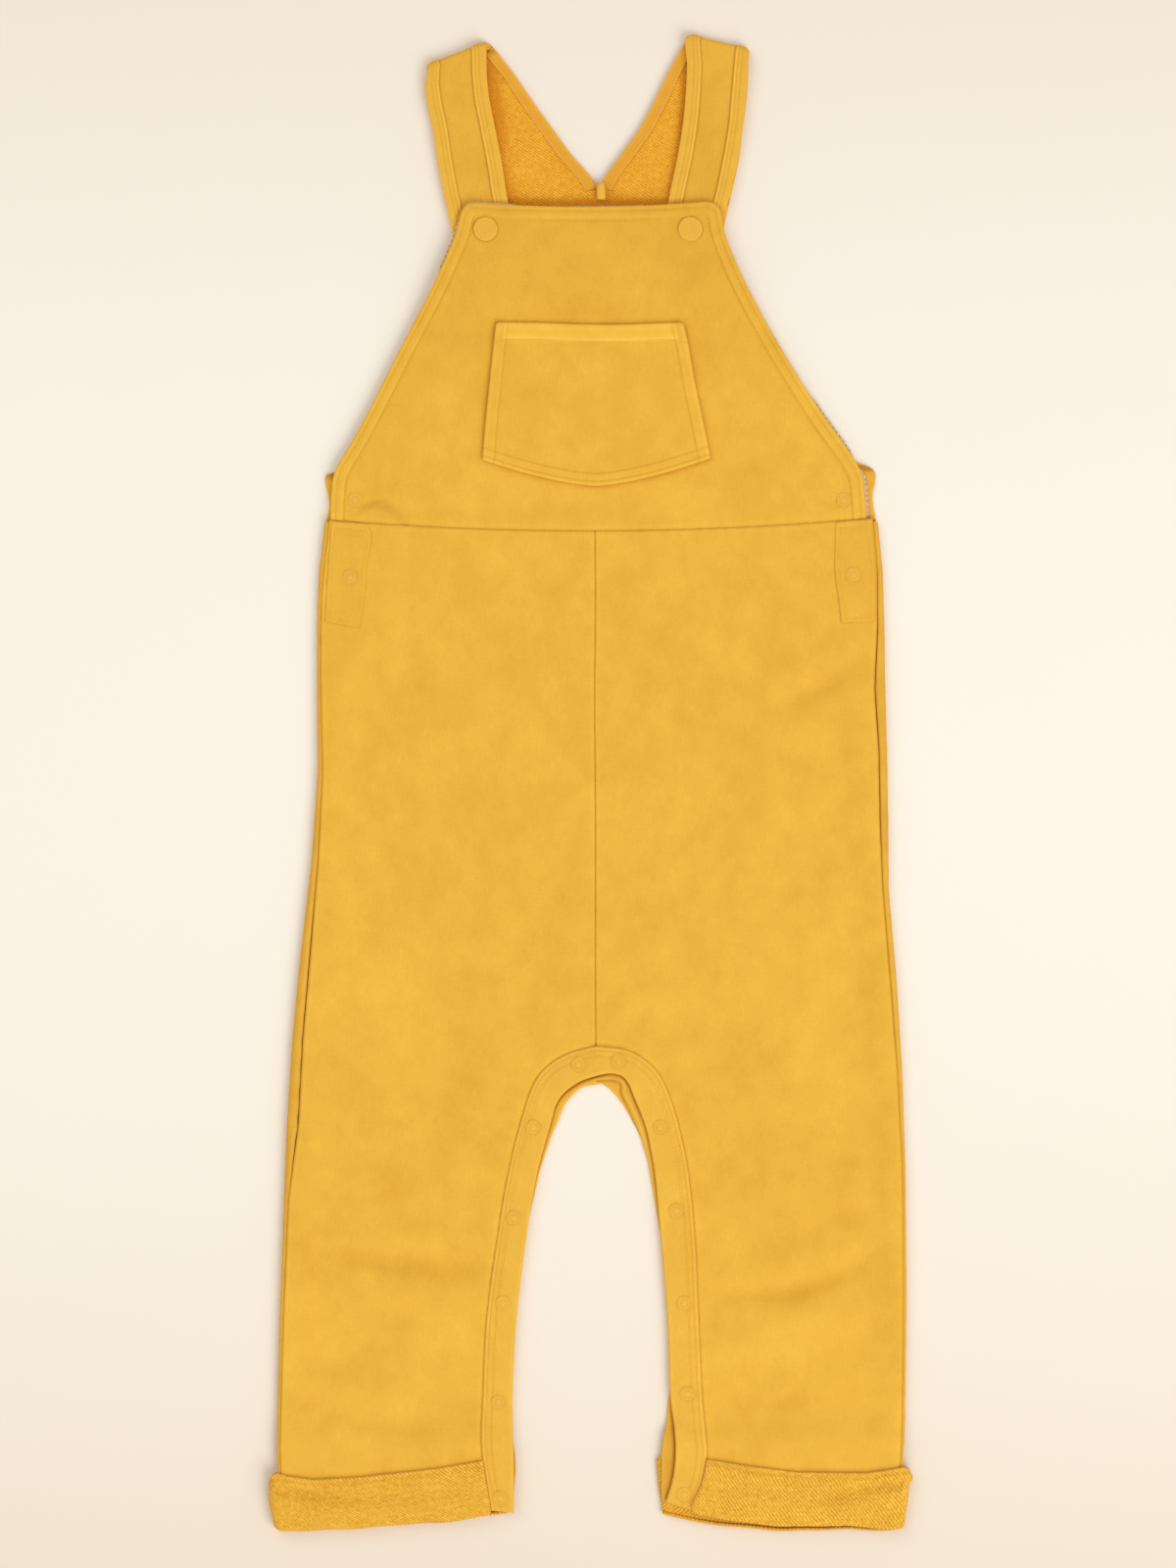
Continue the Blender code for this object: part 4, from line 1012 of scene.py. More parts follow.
class Board:
    """The shader nodes of one finish."""

    def __init__(self, name: str) -> None:
        """Start with an empty board.

        Args:
            name: The finish's name.
        """
        self.material = bpy.data.materials.new(name)
        self.material.use_nodes = True
        self.tree = self.material.node_tree
        self.tree.nodes.clear()

    def node(
        self, kind: str, settings: dict | None = None, inputs: dict | None = None, output: int | str = 0
    ) -> Wire:
        """Add a node.

        Args:
            kind: The node's type, without the words that they all start with.
            settings: Its own settings, which are set first.
            inputs: Values or wires for its sockets, by name or by number.
            output: The socket that is read, by name or by number.

        Returns:
            What comes out of it.
        """
        made = self.tree.nodes.new(f"ShaderNode{kind}")
        for key, value in (settings or {}).items():
            setattr(made, key, value)
        for key, value in (inputs or {}).items():
            if isinstance(value, Wire):
                self.tree.links.new(value.socket, made.inputs[key])
            else:
                made.inputs[key].default_value = value
        return Wire(self, made.outputs[output])

    def maths(self, operation: str, *values: Wire | float) -> Wire:
        """Add a Math node."""
        return self.node("Math", {"operation": operation}, dict(enumerate(values)))

    def weave(self) -> Wire:
        """Return the cloth's own coordinates, in metres."""
        return self.node("UVMap", {"uv_map": "weave"}, output="UV")

    def place(self) -> Wire:
        """Return the place on the object, in metres."""
        return self.node("TexCoord", output="Object")

    def part_of(self, vector: Wire, axis: str) -> Wire:
        """Return one part of a vector."""
        return self.node("SeparateXYZ", {}, {0: vector}, axis)

    def wear(self) -> Wire:
        """Return each point's wear and painted shade, as written on the mesh."""
        return self.node("Attribute", {"attribute_name": "wear"}, output="Fac")

    def noise(self, where: Wire, scale: Sequence[float], detail: float = 2.0, rough: float = 0.5) -> Wire:
        """Return noise around a half, which varies at a rate per metre along each axis.

        Args:
            where: The coordinates.
            scale: The rate along X, Y and Z.
            detail: How many finer layers it has.
            rough: How strong those are.

        Returns:
            The noise.
        """
        mapped = self.node("Mapping", {}, {"Vector": where, "Scale": tuple(scale)})
        inputs = {"Vector": mapped, "Scale": 1.0, "Detail": detail, "Roughness": rough}
        return self.node("TexNoise", {}, inputs)

    def blend(self, share: Wire | float, first: Wire | Colour, second: Wire | Colour) -> Wire:
        """Return a colour between two."""
        ends = [end if isinstance(end, Wire) else (*end, 1.0) for end in (first, second)]
        return self.node("Mix", {"data_type": "RGBA"}, {0: share, 6: ends[0], 7: ends[1]}, 2)

    def bump(self, height: Wire, distance: float, strength: float) -> Wire:
        """Return the normal of a surface that a height raises by up to a distance."""
        return self.node("Bump", {}, {"Strength": strength, "Distance": distance, "Height": height})

    def surface(
        self, colour: Wire, roughness: Wire | float, specular: float, normal: Wire | None = None,
        sheen: Pair = (0.0, 0.5),
    ) -> Material:
        """Close the board with a Principled shader.

        Args:
            colour: The base colour.
            roughness: How rough the surface is.
            specular: How strongly it shines.
            normal: Its normal, where a bump changes it.
            sheen: How strong its sheen is, and how rough.

        Returns:
            The material.
        """
        inputs = {"Base Color": colour, "Roughness": roughness, "Specular IOR Level": specular}
        inputs |= {"Sheen Weight": sheen[0], "Sheen Roughness": sheen[1]}
        if normal is not None:
            inputs["Normal"] = normal
        shader = self.node("BsdfPrincipled", {}, inputs)
        end = self.tree.nodes.new("ShaderNodeOutputMaterial")
        self.tree.links.new(shader.socket, end.inputs["Surface"])
        return self.material


@dataclass(frozen=True)
class Finish:
    """What the finishes share: a name, a deep tone and a pale tone."""

    name: str
    deep: Colour
    pale: Colour

    def tone(self, board: Board, shade: Wire) -> Wire:
        """Return the colour at a shade, which turns to the painted shadow's brown where the wear and
        painted shade is below -1.
        """
        colour = board.blend(shade.clamped(), self.deep, self.pale)
        # Painted shadow brown where the painted shade is deepest
        return board.blend((board.wear() * -1.0 - 1.0).clamped(), colour, PAINTED_SHADOW_BROWN)


@dataclass(frozen=True)
class Jersey(Finish):
    """Brushed sweatshirt jersey, dyed as a garment: smooth, soft and a little uneven."""

    def build(self) -> Material:
        """Return the material.

        Returns:
            The material.
        """
        board = Board(self.name)
        weave = board.weave()
        clouds = board.noise(weave, (32.0, 25.0, 1.0), 3.0, 0.55)
        blotches = board.noise(weave, (95.0, 80.0, 1.0), 2.0)
        wales = board.noise(weave, (1250.0, 210.0, 1.0), 2.0, 0.6)
        courses = board.noise(weave, (380.0, 900.0, 1.0), 1.0, 0.5)
        shade = 0.61 + (clouds - 0.5) * 0.28 + (blotches - 0.5) * 0.22 + (wales - 0.5) * 0.17
        # Wear, painted shade and painted highlights from the mesh darken and lighten the colour
        shade = shade + (courses - 0.5) * 0.10 + board.wear() * 0.5
        ground = board.bump(wales * 0.7 + courses * 0.3, 0.00016, 0.7)
        return board.surface(self.tone(board, shade), 0.92, 0.15, ground, (0.12, 0.55))


@dataclass(frozen=True)
class LoopedTerry(Finish):
    """The looped inside of the jersey, whose loops lie in slanting rows."""

    slant: float
    row: float
    loop: float
    ribbed: float = 0.32
    contrast: float = 1.15

    def build(self) -> Material:
        """Return the material.

        Returns:
            The material.
        """
        board = Board(self.name)
        weave = board.weave()
        turn = math.radians(self.slant)
        stray = board.noise(weave, (300.0, 300.0, 1.0), 3.0, 0.6)
        x = board.part_of(weave, "X")
        y = board.part_of(weave, "Y")
        along = x * math.cos(turn) + y * math.sin(turn)
        across = y * math.cos(turn) - x * math.sin(turn)
        round_turn = 2 * math.pi / MM
        rows = (across * (round_turn / self.row) + stray * 7.0).wave()
        loops = (along * (round_turn / self.loop) + across * (round_turn * 0.31) + stray * 17.0).wave()
        fuzz = board.noise(weave, (1100.0, 1100.0, 1.0), 3.0, 0.7)
        ground = rows * self.ribbed + loops * rows * 0.22 + fuzz * 1.05 - 0.23
        clouds = board.noise(weave, (60.0, 60.0, 1.0), 3.0)
        clumps = board.noise(weave, (430.0, 430.0, 1.0), 2.0, 0.6)
        shade = (ground + clumps * 0.7 - 0.85) * self.contrast + (clouds - 0.5) * 0.45
        # Wear, painted shade and painted highlights from the mesh darken and lighten the colour
        shade = shade + board.wear() * 0.5 + 0.5
        bumped = board.bump(ground, 0.0004, 0.7)
        return board.surface(self.tone(board, shade), 0.95, 0.12, bumped, (0.12, 0.6))


@dataclass(frozen=True)
class Tape(Finish):
    """The pale facing inside the bib, overlocked along its edge."""

    def build(self) -> Material:
        """Return the material.

        Returns:
            The material.
        """
        board = Board(self.name)
        flecks = board.noise(board.weave(), (700.0, 520.0, 1.0), 2.0, 0.6)
        shade = (flecks - 0.5) * 1.6 + 0.5 + board.wear() * 0.4
        colour = board.blend(shade.clamped(), self.deep, self.pale)
        return board.surface(colour, 0.9, 0.15, board.bump(flecks, 0.0002, 0.7))


@dataclass(frozen=True)
class Thread(Finish):
    """Sewing thread, twisted and dyed with the garment."""

    def build(self) -> Material:
        """Return the material.

        Returns:
            The material.
        """
        board = Board(self.name)
        twist = board.noise(board.place(), (2600.0,) * 3, 1.0)
        colour = board.blend(twist, self.deep, self.pale)
        return board.surface(colour, 0.7, 0.25, board.bump(twist, 0.00012, 0.5))


@dataclass(frozen=True)
class SnapCoat(Finish):
    """The matt lacquer on the snaps."""

    def build(self) -> Material:
        """Return the material.

        Returns:
            The material.
        """
        board = Board(self.name)
        place = board.place()
        grain = board.noise(place, (600.0,) * 3, 3.0)
        scuffs = board.noise(place, (90.0,) * 3, 3.0, 0.6)
        fine = board.noise(place, (900.0,) * 3, 2.0)
        # Painted highlights and painted shade from the snap's mesh lighten and darken the coat
        shade = 0.55 + (scuffs - 0.5) * 0.3 + (fine - 0.5) * 0.2 + board.wear() * 0.5
        roughness = (0.56 + grain * 0.16).clamped()
        return board.surface(self.tone(board, shade), roughness, 0.28, board.bump(grain, 0.00003, 0.6))


@dataclass(frozen=True)
class Paper(Finish):
    """The pale floor, with painted shade deepening it away from its middle, where the light falls off."""

    reach: float = 0.42
    rise: float = 0.04

    def build(self) -> Material:
        """Return the material.

        Returns:
            The material.
        """
        board = Board(self.name)
        place = board.place()
        # Painted shade that grows with the distance up or down from the middle
        away = (board.part_of(place, "Y") - self.rise) * (1.0 / self.reach)
        speck = board.noise(place, (35.0,) * 3, 2.0)
        shade = (1.0 - away * away + (speck - 0.5) * 0.05).clamped()
        return board.surface(board.blend(shade, self.deep, self.pale), 0.8, 0.1)


class Wardrobe:
    """Every finish of the garment."""

    def __init__(self) -> None:
        """Make the finishes."""
        self.jersey = Jersey("mustard_jersey", (0.50, 0.19, 0.006), (1.0, 0.62, 0.075)).build()
        self.bands = Jersey("mustard_bands", (0.51, 0.195, 0.007), (1.0, 0.63, 0.085)).build()
        self.neck = Jersey("mustard_neck", (0.50, 0.17, 0.004), (0.95, 0.50, 0.05)).build()
        self.cuff_terry = LoopedTerry(
            "cuff_loops", (0.60, 0.25, 0.008), (1.0, 0.60, 0.07), slant=39.0, row=1.15, loop=3.6
        ).build()
        self.strap_terry = LoopedTerry(
            "inside_loops", (0.68, 0.25, 0.007), (1.0, 0.54, 0.045), slant=-33.0, row=1.15, loop=1.4,
            ribbed=0.34, contrast=1.3,
        ).build()
        self.facing = Tape("pale_facing", (0.60, 0.38, 0.19), (0.88, 0.64, 0.37)).build()
        self.overlock = Thread("brown_thread", (0.28, 0.17, 0.06), (0.46, 0.31, 0.13)).build()
        self.pale_thread = Thread("pale_thread", (0.86, 0.47, 0.06), (1.0, 0.64, 0.16)).build()
        self.thread = Thread("mustard_thread", (0.74, 0.38, 0.02), (0.93, 0.54, 0.06)).build()
        self.coat = SnapCoat("snap_lacquer", (0.58, 0.25, 0.012), (0.97, 0.60, 0.08)).build()


class Slot(Enum):
    """The record's material slots."""

    JERSEY = "jersey"
    BANDS = "bands"
    TERRY = "terry"
    FACING = "facing"
    COAT = "snap_coat"


def settle(piece: Object, slot: Slot, *nodes: str) -> Object:
    """Fasten a finished piece to the frame.

    Args:
        piece: The piece.
        slot: The record's slot for its finish; not used.
        nodes: The CAD nodes that it stands for.

    Returns:
        The piece.
    """
    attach(piece, "root")
    if nodes:
        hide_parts(*nodes)
    LOG.info("%s: %d faces", piece.name, len(piece.data.polygons))
    return piece


class SnapSpot(NamedTuple):
    """Where a snap of the frame sits, in millimetres on the plan."""

    node: str
    x: float
    y: float
    bottom: float
    radius: float


def snap_spots(nodes: dict[str, Object], start: str) -> list[SnapSpot]:
    """Read the places of the snaps from the frame.

    Args:
        nodes: The frame's nodes.
        start: How the snaps' node names start.

    Returns:
        The snaps, by name.
    """
    spots = []
    for name in sorted(nodes):
        if name.startswith(start):
            low, high = (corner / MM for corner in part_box(name))
            middle = (low + high) / 2
            x = middle.x + BOX_CENTRE[0]
            y = middle.y + BOX_CENTRE[1]
            spots.append(SnapSpot(name, x, y, low.z, (high.x - low.x) / 2))
    return spots


def seat_snaps(wall: Wall, spots: Sequence[SnapSpot]) -> None:
    """Let the snaps that a cloth carries pull its face down round them, with a ring of painted shade just
    outside each.

    Args:
        wall: The cloth.
        spots: Where its snaps are.
    """
    for spot in spots:
        away = np.hypot(wall.x - spot.x, wall.y - spot.y)
        wall.emboss(-SNAP_PULL * (1.0 - ease((away - spot.radius) / 3.2)))
        # A ring of painted shade round the snap
        wall.wear -= 0.1 * bell(away - spot.radius - 0.2, 0.6)


def cuff_lift(y: Number) -> Array:
    """Return how far a leg is lifted off the floor by the cuff's back layer."""
    return LAYER_LIFT * ease((CUFF_LIFT_STARTS - y) / CUFF_LIFT_REACH)


def bib_level(y: Number) -> Array:
    """Return how high the bib lies: over its facing, and higher where it covers the straps."""
    return LINED_LEVEL + LAYER_LIFT * ease((y - (BIB[-1].left_y - BIB_CLIMBS_AT)) / BIB_CLIMB)


def facing_level(y: Number) -> Array:
    """Return how high the bib's facing lies: over the back, and then over the straps."""
    return FRONT_LEVEL + LAYER_LIFT * ease((y - (BIB[-1].left_y - FACING_CLIMBS_AT)) / FACING_CLIMB)


def waist_seam(x: Array) -> Array:
    """Return the waist seam's Y at each X."""
    return BIB[0].sagging(x, WAIST_SAG)


def bib_top(x: Array) -> Array:
    """Return the Y of the bib's top at each X."""
    return BIB[-1].sagging(x, BIB_TOP_SAG)


def clear_of_bib(x: Array, y: Array) -> Array:
    """Return how far points of the plan are outside the bib; below zero they are under it.

    Args:
        x: The points' places across.
        y: The points' places up.

    Returns:
        A distance for each point.
    """
    left = read(BIB, "left_y", "left_x", y)
    right = read(BIB, "right_y", "right_x", y)
    return np.maximum(y - bib_top(x), 0.85 * np.maximum(left - x, x - right))


def side_rise(x: Array, y: Array) -> Array:
    """Return how far the cloth near the sides comes up, to meet the waist seam there."""
    return SIDE_RISE * ease((np.abs(x - 3.0) - 100.0) / 22.0) * bell(y - 118.0, 16.0)


@dataclass
class BackHalf:
    """One half of the back, cut in one with its strap, which turns over and comes down the front."""

    hand: Hand
    sections: Sequence[Section]
    fold: Section
    strap: Sequence[Section]
    fold_radius: float = 2.2
    fold_rows: int = 13
    bridge_rows: int = 5
    corner: float = 4.2
    overlap: float = 0.4
    neck_point: float = 279.0
    fold_slip: float = 0.0
    pitch: float = 1.7
    armhole_hem: float = 7.0
    hem_width: float = 6.9
    hem_thickness: float = 0.7
    neck_width: float = 5.8
    neck_thickness: float = 0.5
    hem_rows: Pair = (3.3, 5.2)
    neck_row: float = 4.6
    # Where a painted shadow darkens the hollow at the back's corner, then how strong and how wide the
    # painted shadow beside the strap is
    shaded_hollow: Pair = (130.4, 148.0)
    strap_shade: float = 1.35
    shade_reach: float = 3.0

    def __post_init__(self) -> None:
        """Work out the run of the cloth: its two edges, on its face and on its reverse."""
        left, right = sides(self.sections)
        shares = evenly(right.length / self.pitch)
        edges = left.at(shares), right.at(shares)
        centre = edges[self.on_left]
        centre[:, 0] -= self.hand.value * self.overlap * (centre[:, 1] < self.neck_point)
        flat = self.flat_run(edges, np.zeros(len(shares)), CLOTH)
        left, right = sides(self.strap)
        shares = evenly(right.length / 1.2)
        top = mix(2 * self.fold_radius, STRAP_TOP, ease((9 * shares + 1) / 3))
        strap = self.flat_run((left.at(shares), right.at(shares)), top, -CLOTH)
        self.edges = []
        for start, turned, end in zip(flat, self.turned_run(), strap):
            runs = [start, self.bridge(start, turned), turned, self.bridge(turned, end), end]
            self.edges.append(np.vstack(runs))
        neck = self.edges[self.on_left][:, 1]
        fold_starts = len(flat[0]) + self.bridge_rows
        self.neck_rows = (int(np.argmax(neck > self.neck_point - 0.8)), fold_starts)
        self.fold_row = fold_starts + self.fold_rows // 2
        self.fold_share = bell(np.arange(len(neck)) - self.fold_row, 9.0)

    @property
    def on_left(self) -> bool:
        """Whether this is the left half, whose right edge is the inner one."""
        return self.hand is Hand.LEFT

    @staticmethod
    def flat_run(edges: Sequence[Array], level: Array, rise: float) -> list[Array]:
        """Return the face's left and right edges at a level, and then the reverse's over it."""
        return [np.column_stack([edge, level + lift]) for lift in (0.0, rise) for edge in edges]

    def turned_run(self) -> list[Array]:
        """Return the same edges round the shoulder fold.

        Returns:
            The edges' points.
        """
        turns = np.radians(np.linspace(-90.0, 90.0, self.fold_rows))
        ends = np.array([self.fold[:2], self.fold[2:]])
        run = (ends[1] - ends[0]) / np.linalg.norm(ends[1] - ends[0])
        outward = np.array([-run[1], run[0]])
        edges = []
        for reach in (self.fold_radius, self.fold_radius - CLOTH):
            for index, end in enumerate(ends):
                slips = self.fold_slip * (1.0 + np.sin(turns)) / 2 * (index == self.on_left)
                flat = end - outward * self.fold_radius + outward * reach * np.cos(turns)[:, None]
                flat = flat - run * (slips * -self.hand.value)[:, None]
                edges.append(np.column_stack([flat, self.fold_radius + reach * np.sin(turns)]))
        return edges

    def bridge(self, start: Array, end: Array) -> Array:
        """Return the rows between two runs of an edge."""
        return mix(start[-1], end[0], evenly(self.bridge_rows + 2)[1:-1, None])

    def spread(self, rows: slice, shares: Array) -> tuple[Array, Array]:
        """Spread points across the run, and round the corners of the shoulder fold.

        Args:
            rows: The rows of the run.
            shares: Where the points stand across each of them.

        Returns:
            The points on the face and on the reverse.
        """
        face_left, face_right, back_left, back_right = (edge[rows] for edge in self.edges)
        face = ruled(face_left, face_right, shares)
        back = ruled(back_left, back_right, shares)
        run = np.array(self.fold[2:]) - np.array(self.fold[:2])
        size = float(np.hypot(*run))
        inward = np.array([run[1], -run[0]]) / size
        edge = np.clip(np.minimum(shares, 1.0 - shares) * size / self.corner, 0.0, 1.0)
        droop = self.corner * (1.0 - np.sqrt(1.0 - (1.0 - edge) ** 2)) * 0.75
        shift = (droop * self.fold_share[rows][:, None])[..., None] * inward
        for layer in (face, back):
            layer[..., :2] += shift
            layer[..., 1] += side_rise(layer[..., 0], layer[..., 1])
        return face, back

    def strip(self, rows: slice, width: Array, from_left: bool, on_face: bool, thickness: float) -> Wall:
        """Lay a strip of cloth along one edge of the run.

        Args:
            rows: The rows of the run that it covers.
            width: Distances in from the edge at which its points stand.
            from_left: Whether it lies along the left edge.
            on_face: Whether it lies on the face, and not on the reverse.
            thickness: How thick it is.

        Returns:
            The strip, just clear of the cloth under it, and pressed flat where the bib covers it.
        """
        face_left, face_right = (edge[rows] for edge in self.edges[:2])
        span = np.linalg.norm(face_right - face_left, axis=1)[:, None]
        shares = width[None, :] / span
        face, back = self.spread(rows, shares if from_left else 1.0 - shares)
        upper, lower = (face, back) if on_face else (back, face)
        out = upper - lower
        out /= np.linalg.norm(out, axis=-1, keepdims=True)
        clear = clear_of_bib(upper[..., 0], upper[..., 1])
        loose = np.where(on_face, 0.14 + 0.86 * ease((clear - 0.4) / 2.6), 1.0)
        loose = (loose * (1.0 - 0.4 * self.fold_share[rows][:, None]))[..., None]
        wall = Wall(upper + out * (GAP + thickness) * loose, upper + out * GAP * loose)
        wall.weave_along()
        return wall

    def build(self, looks: Wardrobe) -> list[Object]:
        """Build the half back and what is sewn along its edges.

        Args:
            looks: The finishes.

        Returns:
            Its two strap hems, the left one first, and its neck band.
        """
        face_left, face_right = self.edges[:2]
        width = np.linalg.norm(face_right - face_left, axis=1)
        shares = stations(width, PLAIN_EDGE, self.pitch)
        wall = Wall(*self.spread(slice(0, len(width)), shares))
        from_left = shares * width[:, None]
        from_right = width[:, None] - from_left
        wall.round_rim(np.minimum(from_left, from_right), 1.0)
        wall.plain = (from_left if self.on_left else from_right) < self.armhole_hem
        wall.reverse_wear = 1.0
        # Painted shadow beside the strap's inner edge, along the bib's top and beside the neck loop
        inner = sides(self.strap)[self.on_left]
        beside = nearest(wall.x, wall.y, inner.points)[0]
        below = np.arange(len(width))[:, None] < self.fold_row - 6
        strength = mix(0.5, self.strap_shade, ease((wall.y - 288.0) / 34.0))
        shade = strength * bell(beside, self.shade_reach)
        shade += 1.35 * bell(wall.y - BIB[-1].right_y - 0.2, 1.5)
        shade += 0.5 * bell(np.hypot(wall.x - 12.0, wall.y - 276.0), 3.5)
        # Below the fold the painted shadows; from the fold on a slight even darkening
        wall.wear -= np.where(below, shade, 0.12)
        # Painted shadow in the hollow at the back's corner
        hollow_x, hollow_y = self.shaded_hollow
        wall.wear -= 2.0 * bell(np.hypot(0.4 * (wall.x - hollow_x), wall.y - hollow_y), 1.7)
        inside = drape(wall.x, wall.y, 11 + self.hand.value, 0.10, 14.0, 60.0)
        wall.reverse[..., 2] += inside * (wall.reverse[..., 2] > wall.face[..., 2])
        node = f"back_bodice_{self.hand}"
        wall.make(f"back_{self.hand}", Slot.JERSEY, node, looks.jersey, looks.strap_terry)
        return [*self.build_strap_hems(looks), self.build_neck_band(looks)]

    def hem_strip(self, width: Array, from_left: bool) -> Wall:
        """Lay a strip along one edge of the strap, from the top of the fold to just under the bib."""
        rows = slice(self.fold_row - 3, len(self.edges[0]))
        return self.strip(rows, width, from_left, True, self.hem_thickness)

    def neck_strip(self, width: Array) -> Wall:
        """Lay a strip along the neck, on the inside of the back."""
        return self.strip(slice(*self.neck_rows), width, not self.on_left, False, self.neck_thickness)

    def build_strap_hems(self, looks: Wardrobe) -> list[Object]:
        """Build the turned edges of the strap.

        Args:
            looks: The finishes.

        Returns:
            The two hems.
        """
        width = np.concatenate([np.array(FINE_EDGE) * 0.43, np.linspace(3.8, self.hem_width, 14)])
        hems = []
        for from_left in (True, False):
            wall = self.hem_strip(width, from_left)
            away = np.broadcast_to(width, wall.wear.shape)
            inner = self.hem_width - away
            wall.round_rim(np.minimum(0.5 * away, inner), 0.9)
            # Painted highlight on the hem's inner ridge and painted shadow along its inner edge
            wall.wear += 0.28 * bell(inner - 0.7, 0.5) - 0.8 * bell(inner, 0.35)
            for row in self.hem_rows:
                wall.press_row(away - row, 0.45, 0.1, 0.3)
            along = np.broadcast_to(lengths(wall.face[:, 0])[:, None], away.shape)
            wall.emboss(puckers(away - 4.2, along, 3.0, 5.2, 0.07, 1.0 + from_left))
            outer = from_left == self.on_left
            node = f"strap_hem_{self.hand}_{'outer' if outer else 'inner'}"
            hems.append(wall.make(f"hem_{node[10:]}", Slot.BANDS, node, looks.bands))
        return hems

    def build_neck_band(self, looks: Wardrobe) -> Object:
        """Build the band along the neck, on the inside of the back.

        Args:
            looks: The finishes.

        Returns:
            The band.
        """
        width = np.concatenate([np.array(PLAIN_EDGE) * 0.5, np.linspace(1.9, self.neck_width, 16)])
        wall = self.neck_strip(width)
        away = np.broadcast_to(width, wall.wear.shape)
        wall.round_rim(np.minimum(away, self.neck_width - away), 1.2)
        # Painted highlights along both edges of the band
        wall.wear += 0.3 * bell(away - 0.7, 0.6) + 0.2 * bell(self.neck_width - away - 0.6, 0.5)
        wall.press_row(away - self.neck_row, 0.45, 0.1, 0.3)
        return wall.make(f"neck_{self.hand}", Slot.BANDS, f"neck_band_{self.hand}", looks.neck)

    def stitch_lines(self) -> tuple[list[Array], list[Array]]:
        """Return the rows of stitches on the strap hems and on the neck band.

        Returns:
            The rows on the hems and those on the neck band.
        """
        on_hems = [
            self.hem_strip(np.array([row]), from_left).face[:, 0, :2]
            for row in self.hem_rows
            for from_left in (True, False)
        ]
        return on_hems, [self.neck_strip(np.array([self.neck_row])).face[:, 0, :2]]


@dataclass
class NeckLoop:
    """The small loop of tape at the point of the neck."""

    sections: Sequence[Section] = NECK_LOOP
    width: float = 5.0
    thickness: float = 1.3
    arch: float = 1.1
    rows: int = 22

    def build(self, looks: Wardrobe) -> Object:
        """Build the loop.

        Args:
            looks: The finishes.

        Returns:
            The loop.
        """
        left, right = sides(self.sections)
        along = evenly(self.rows)
        shares = stations(np.full(self.rows, self.width), (0.0, 0.15, 0.4, 0.8), 0.4)
        plan = ruled(left.at(along), right.at(along), shares)
        wall = Wall.over(plan, FRONT_LEVEL + FACING, self.thickness)
        across = shares * self.width
        down = np.broadcast_to(along[:, None] * left.length, across.shape)
        side = np.minimum(across, self.width - across)
        wall.round_rim(np.minimum(side, np.minimum(down, left.length - down)), 1.5)
        wall.lift(self.arch * np.sin(math.pi * along)[:, None] ** 0.7 * np.ones_like(across))
        # Painted highlight along the loop's crown, painted shade at its sides, and the whole loop a little
        # darker
        wall.wear += 0.2 * bell(across - 0.62 * self.width, 0.8) - 0.5 * bell(side, 0.6) - 0.1
        return wall.make("loop_of_tape", Slot.BANDS, "neck_loop", looks.bands)


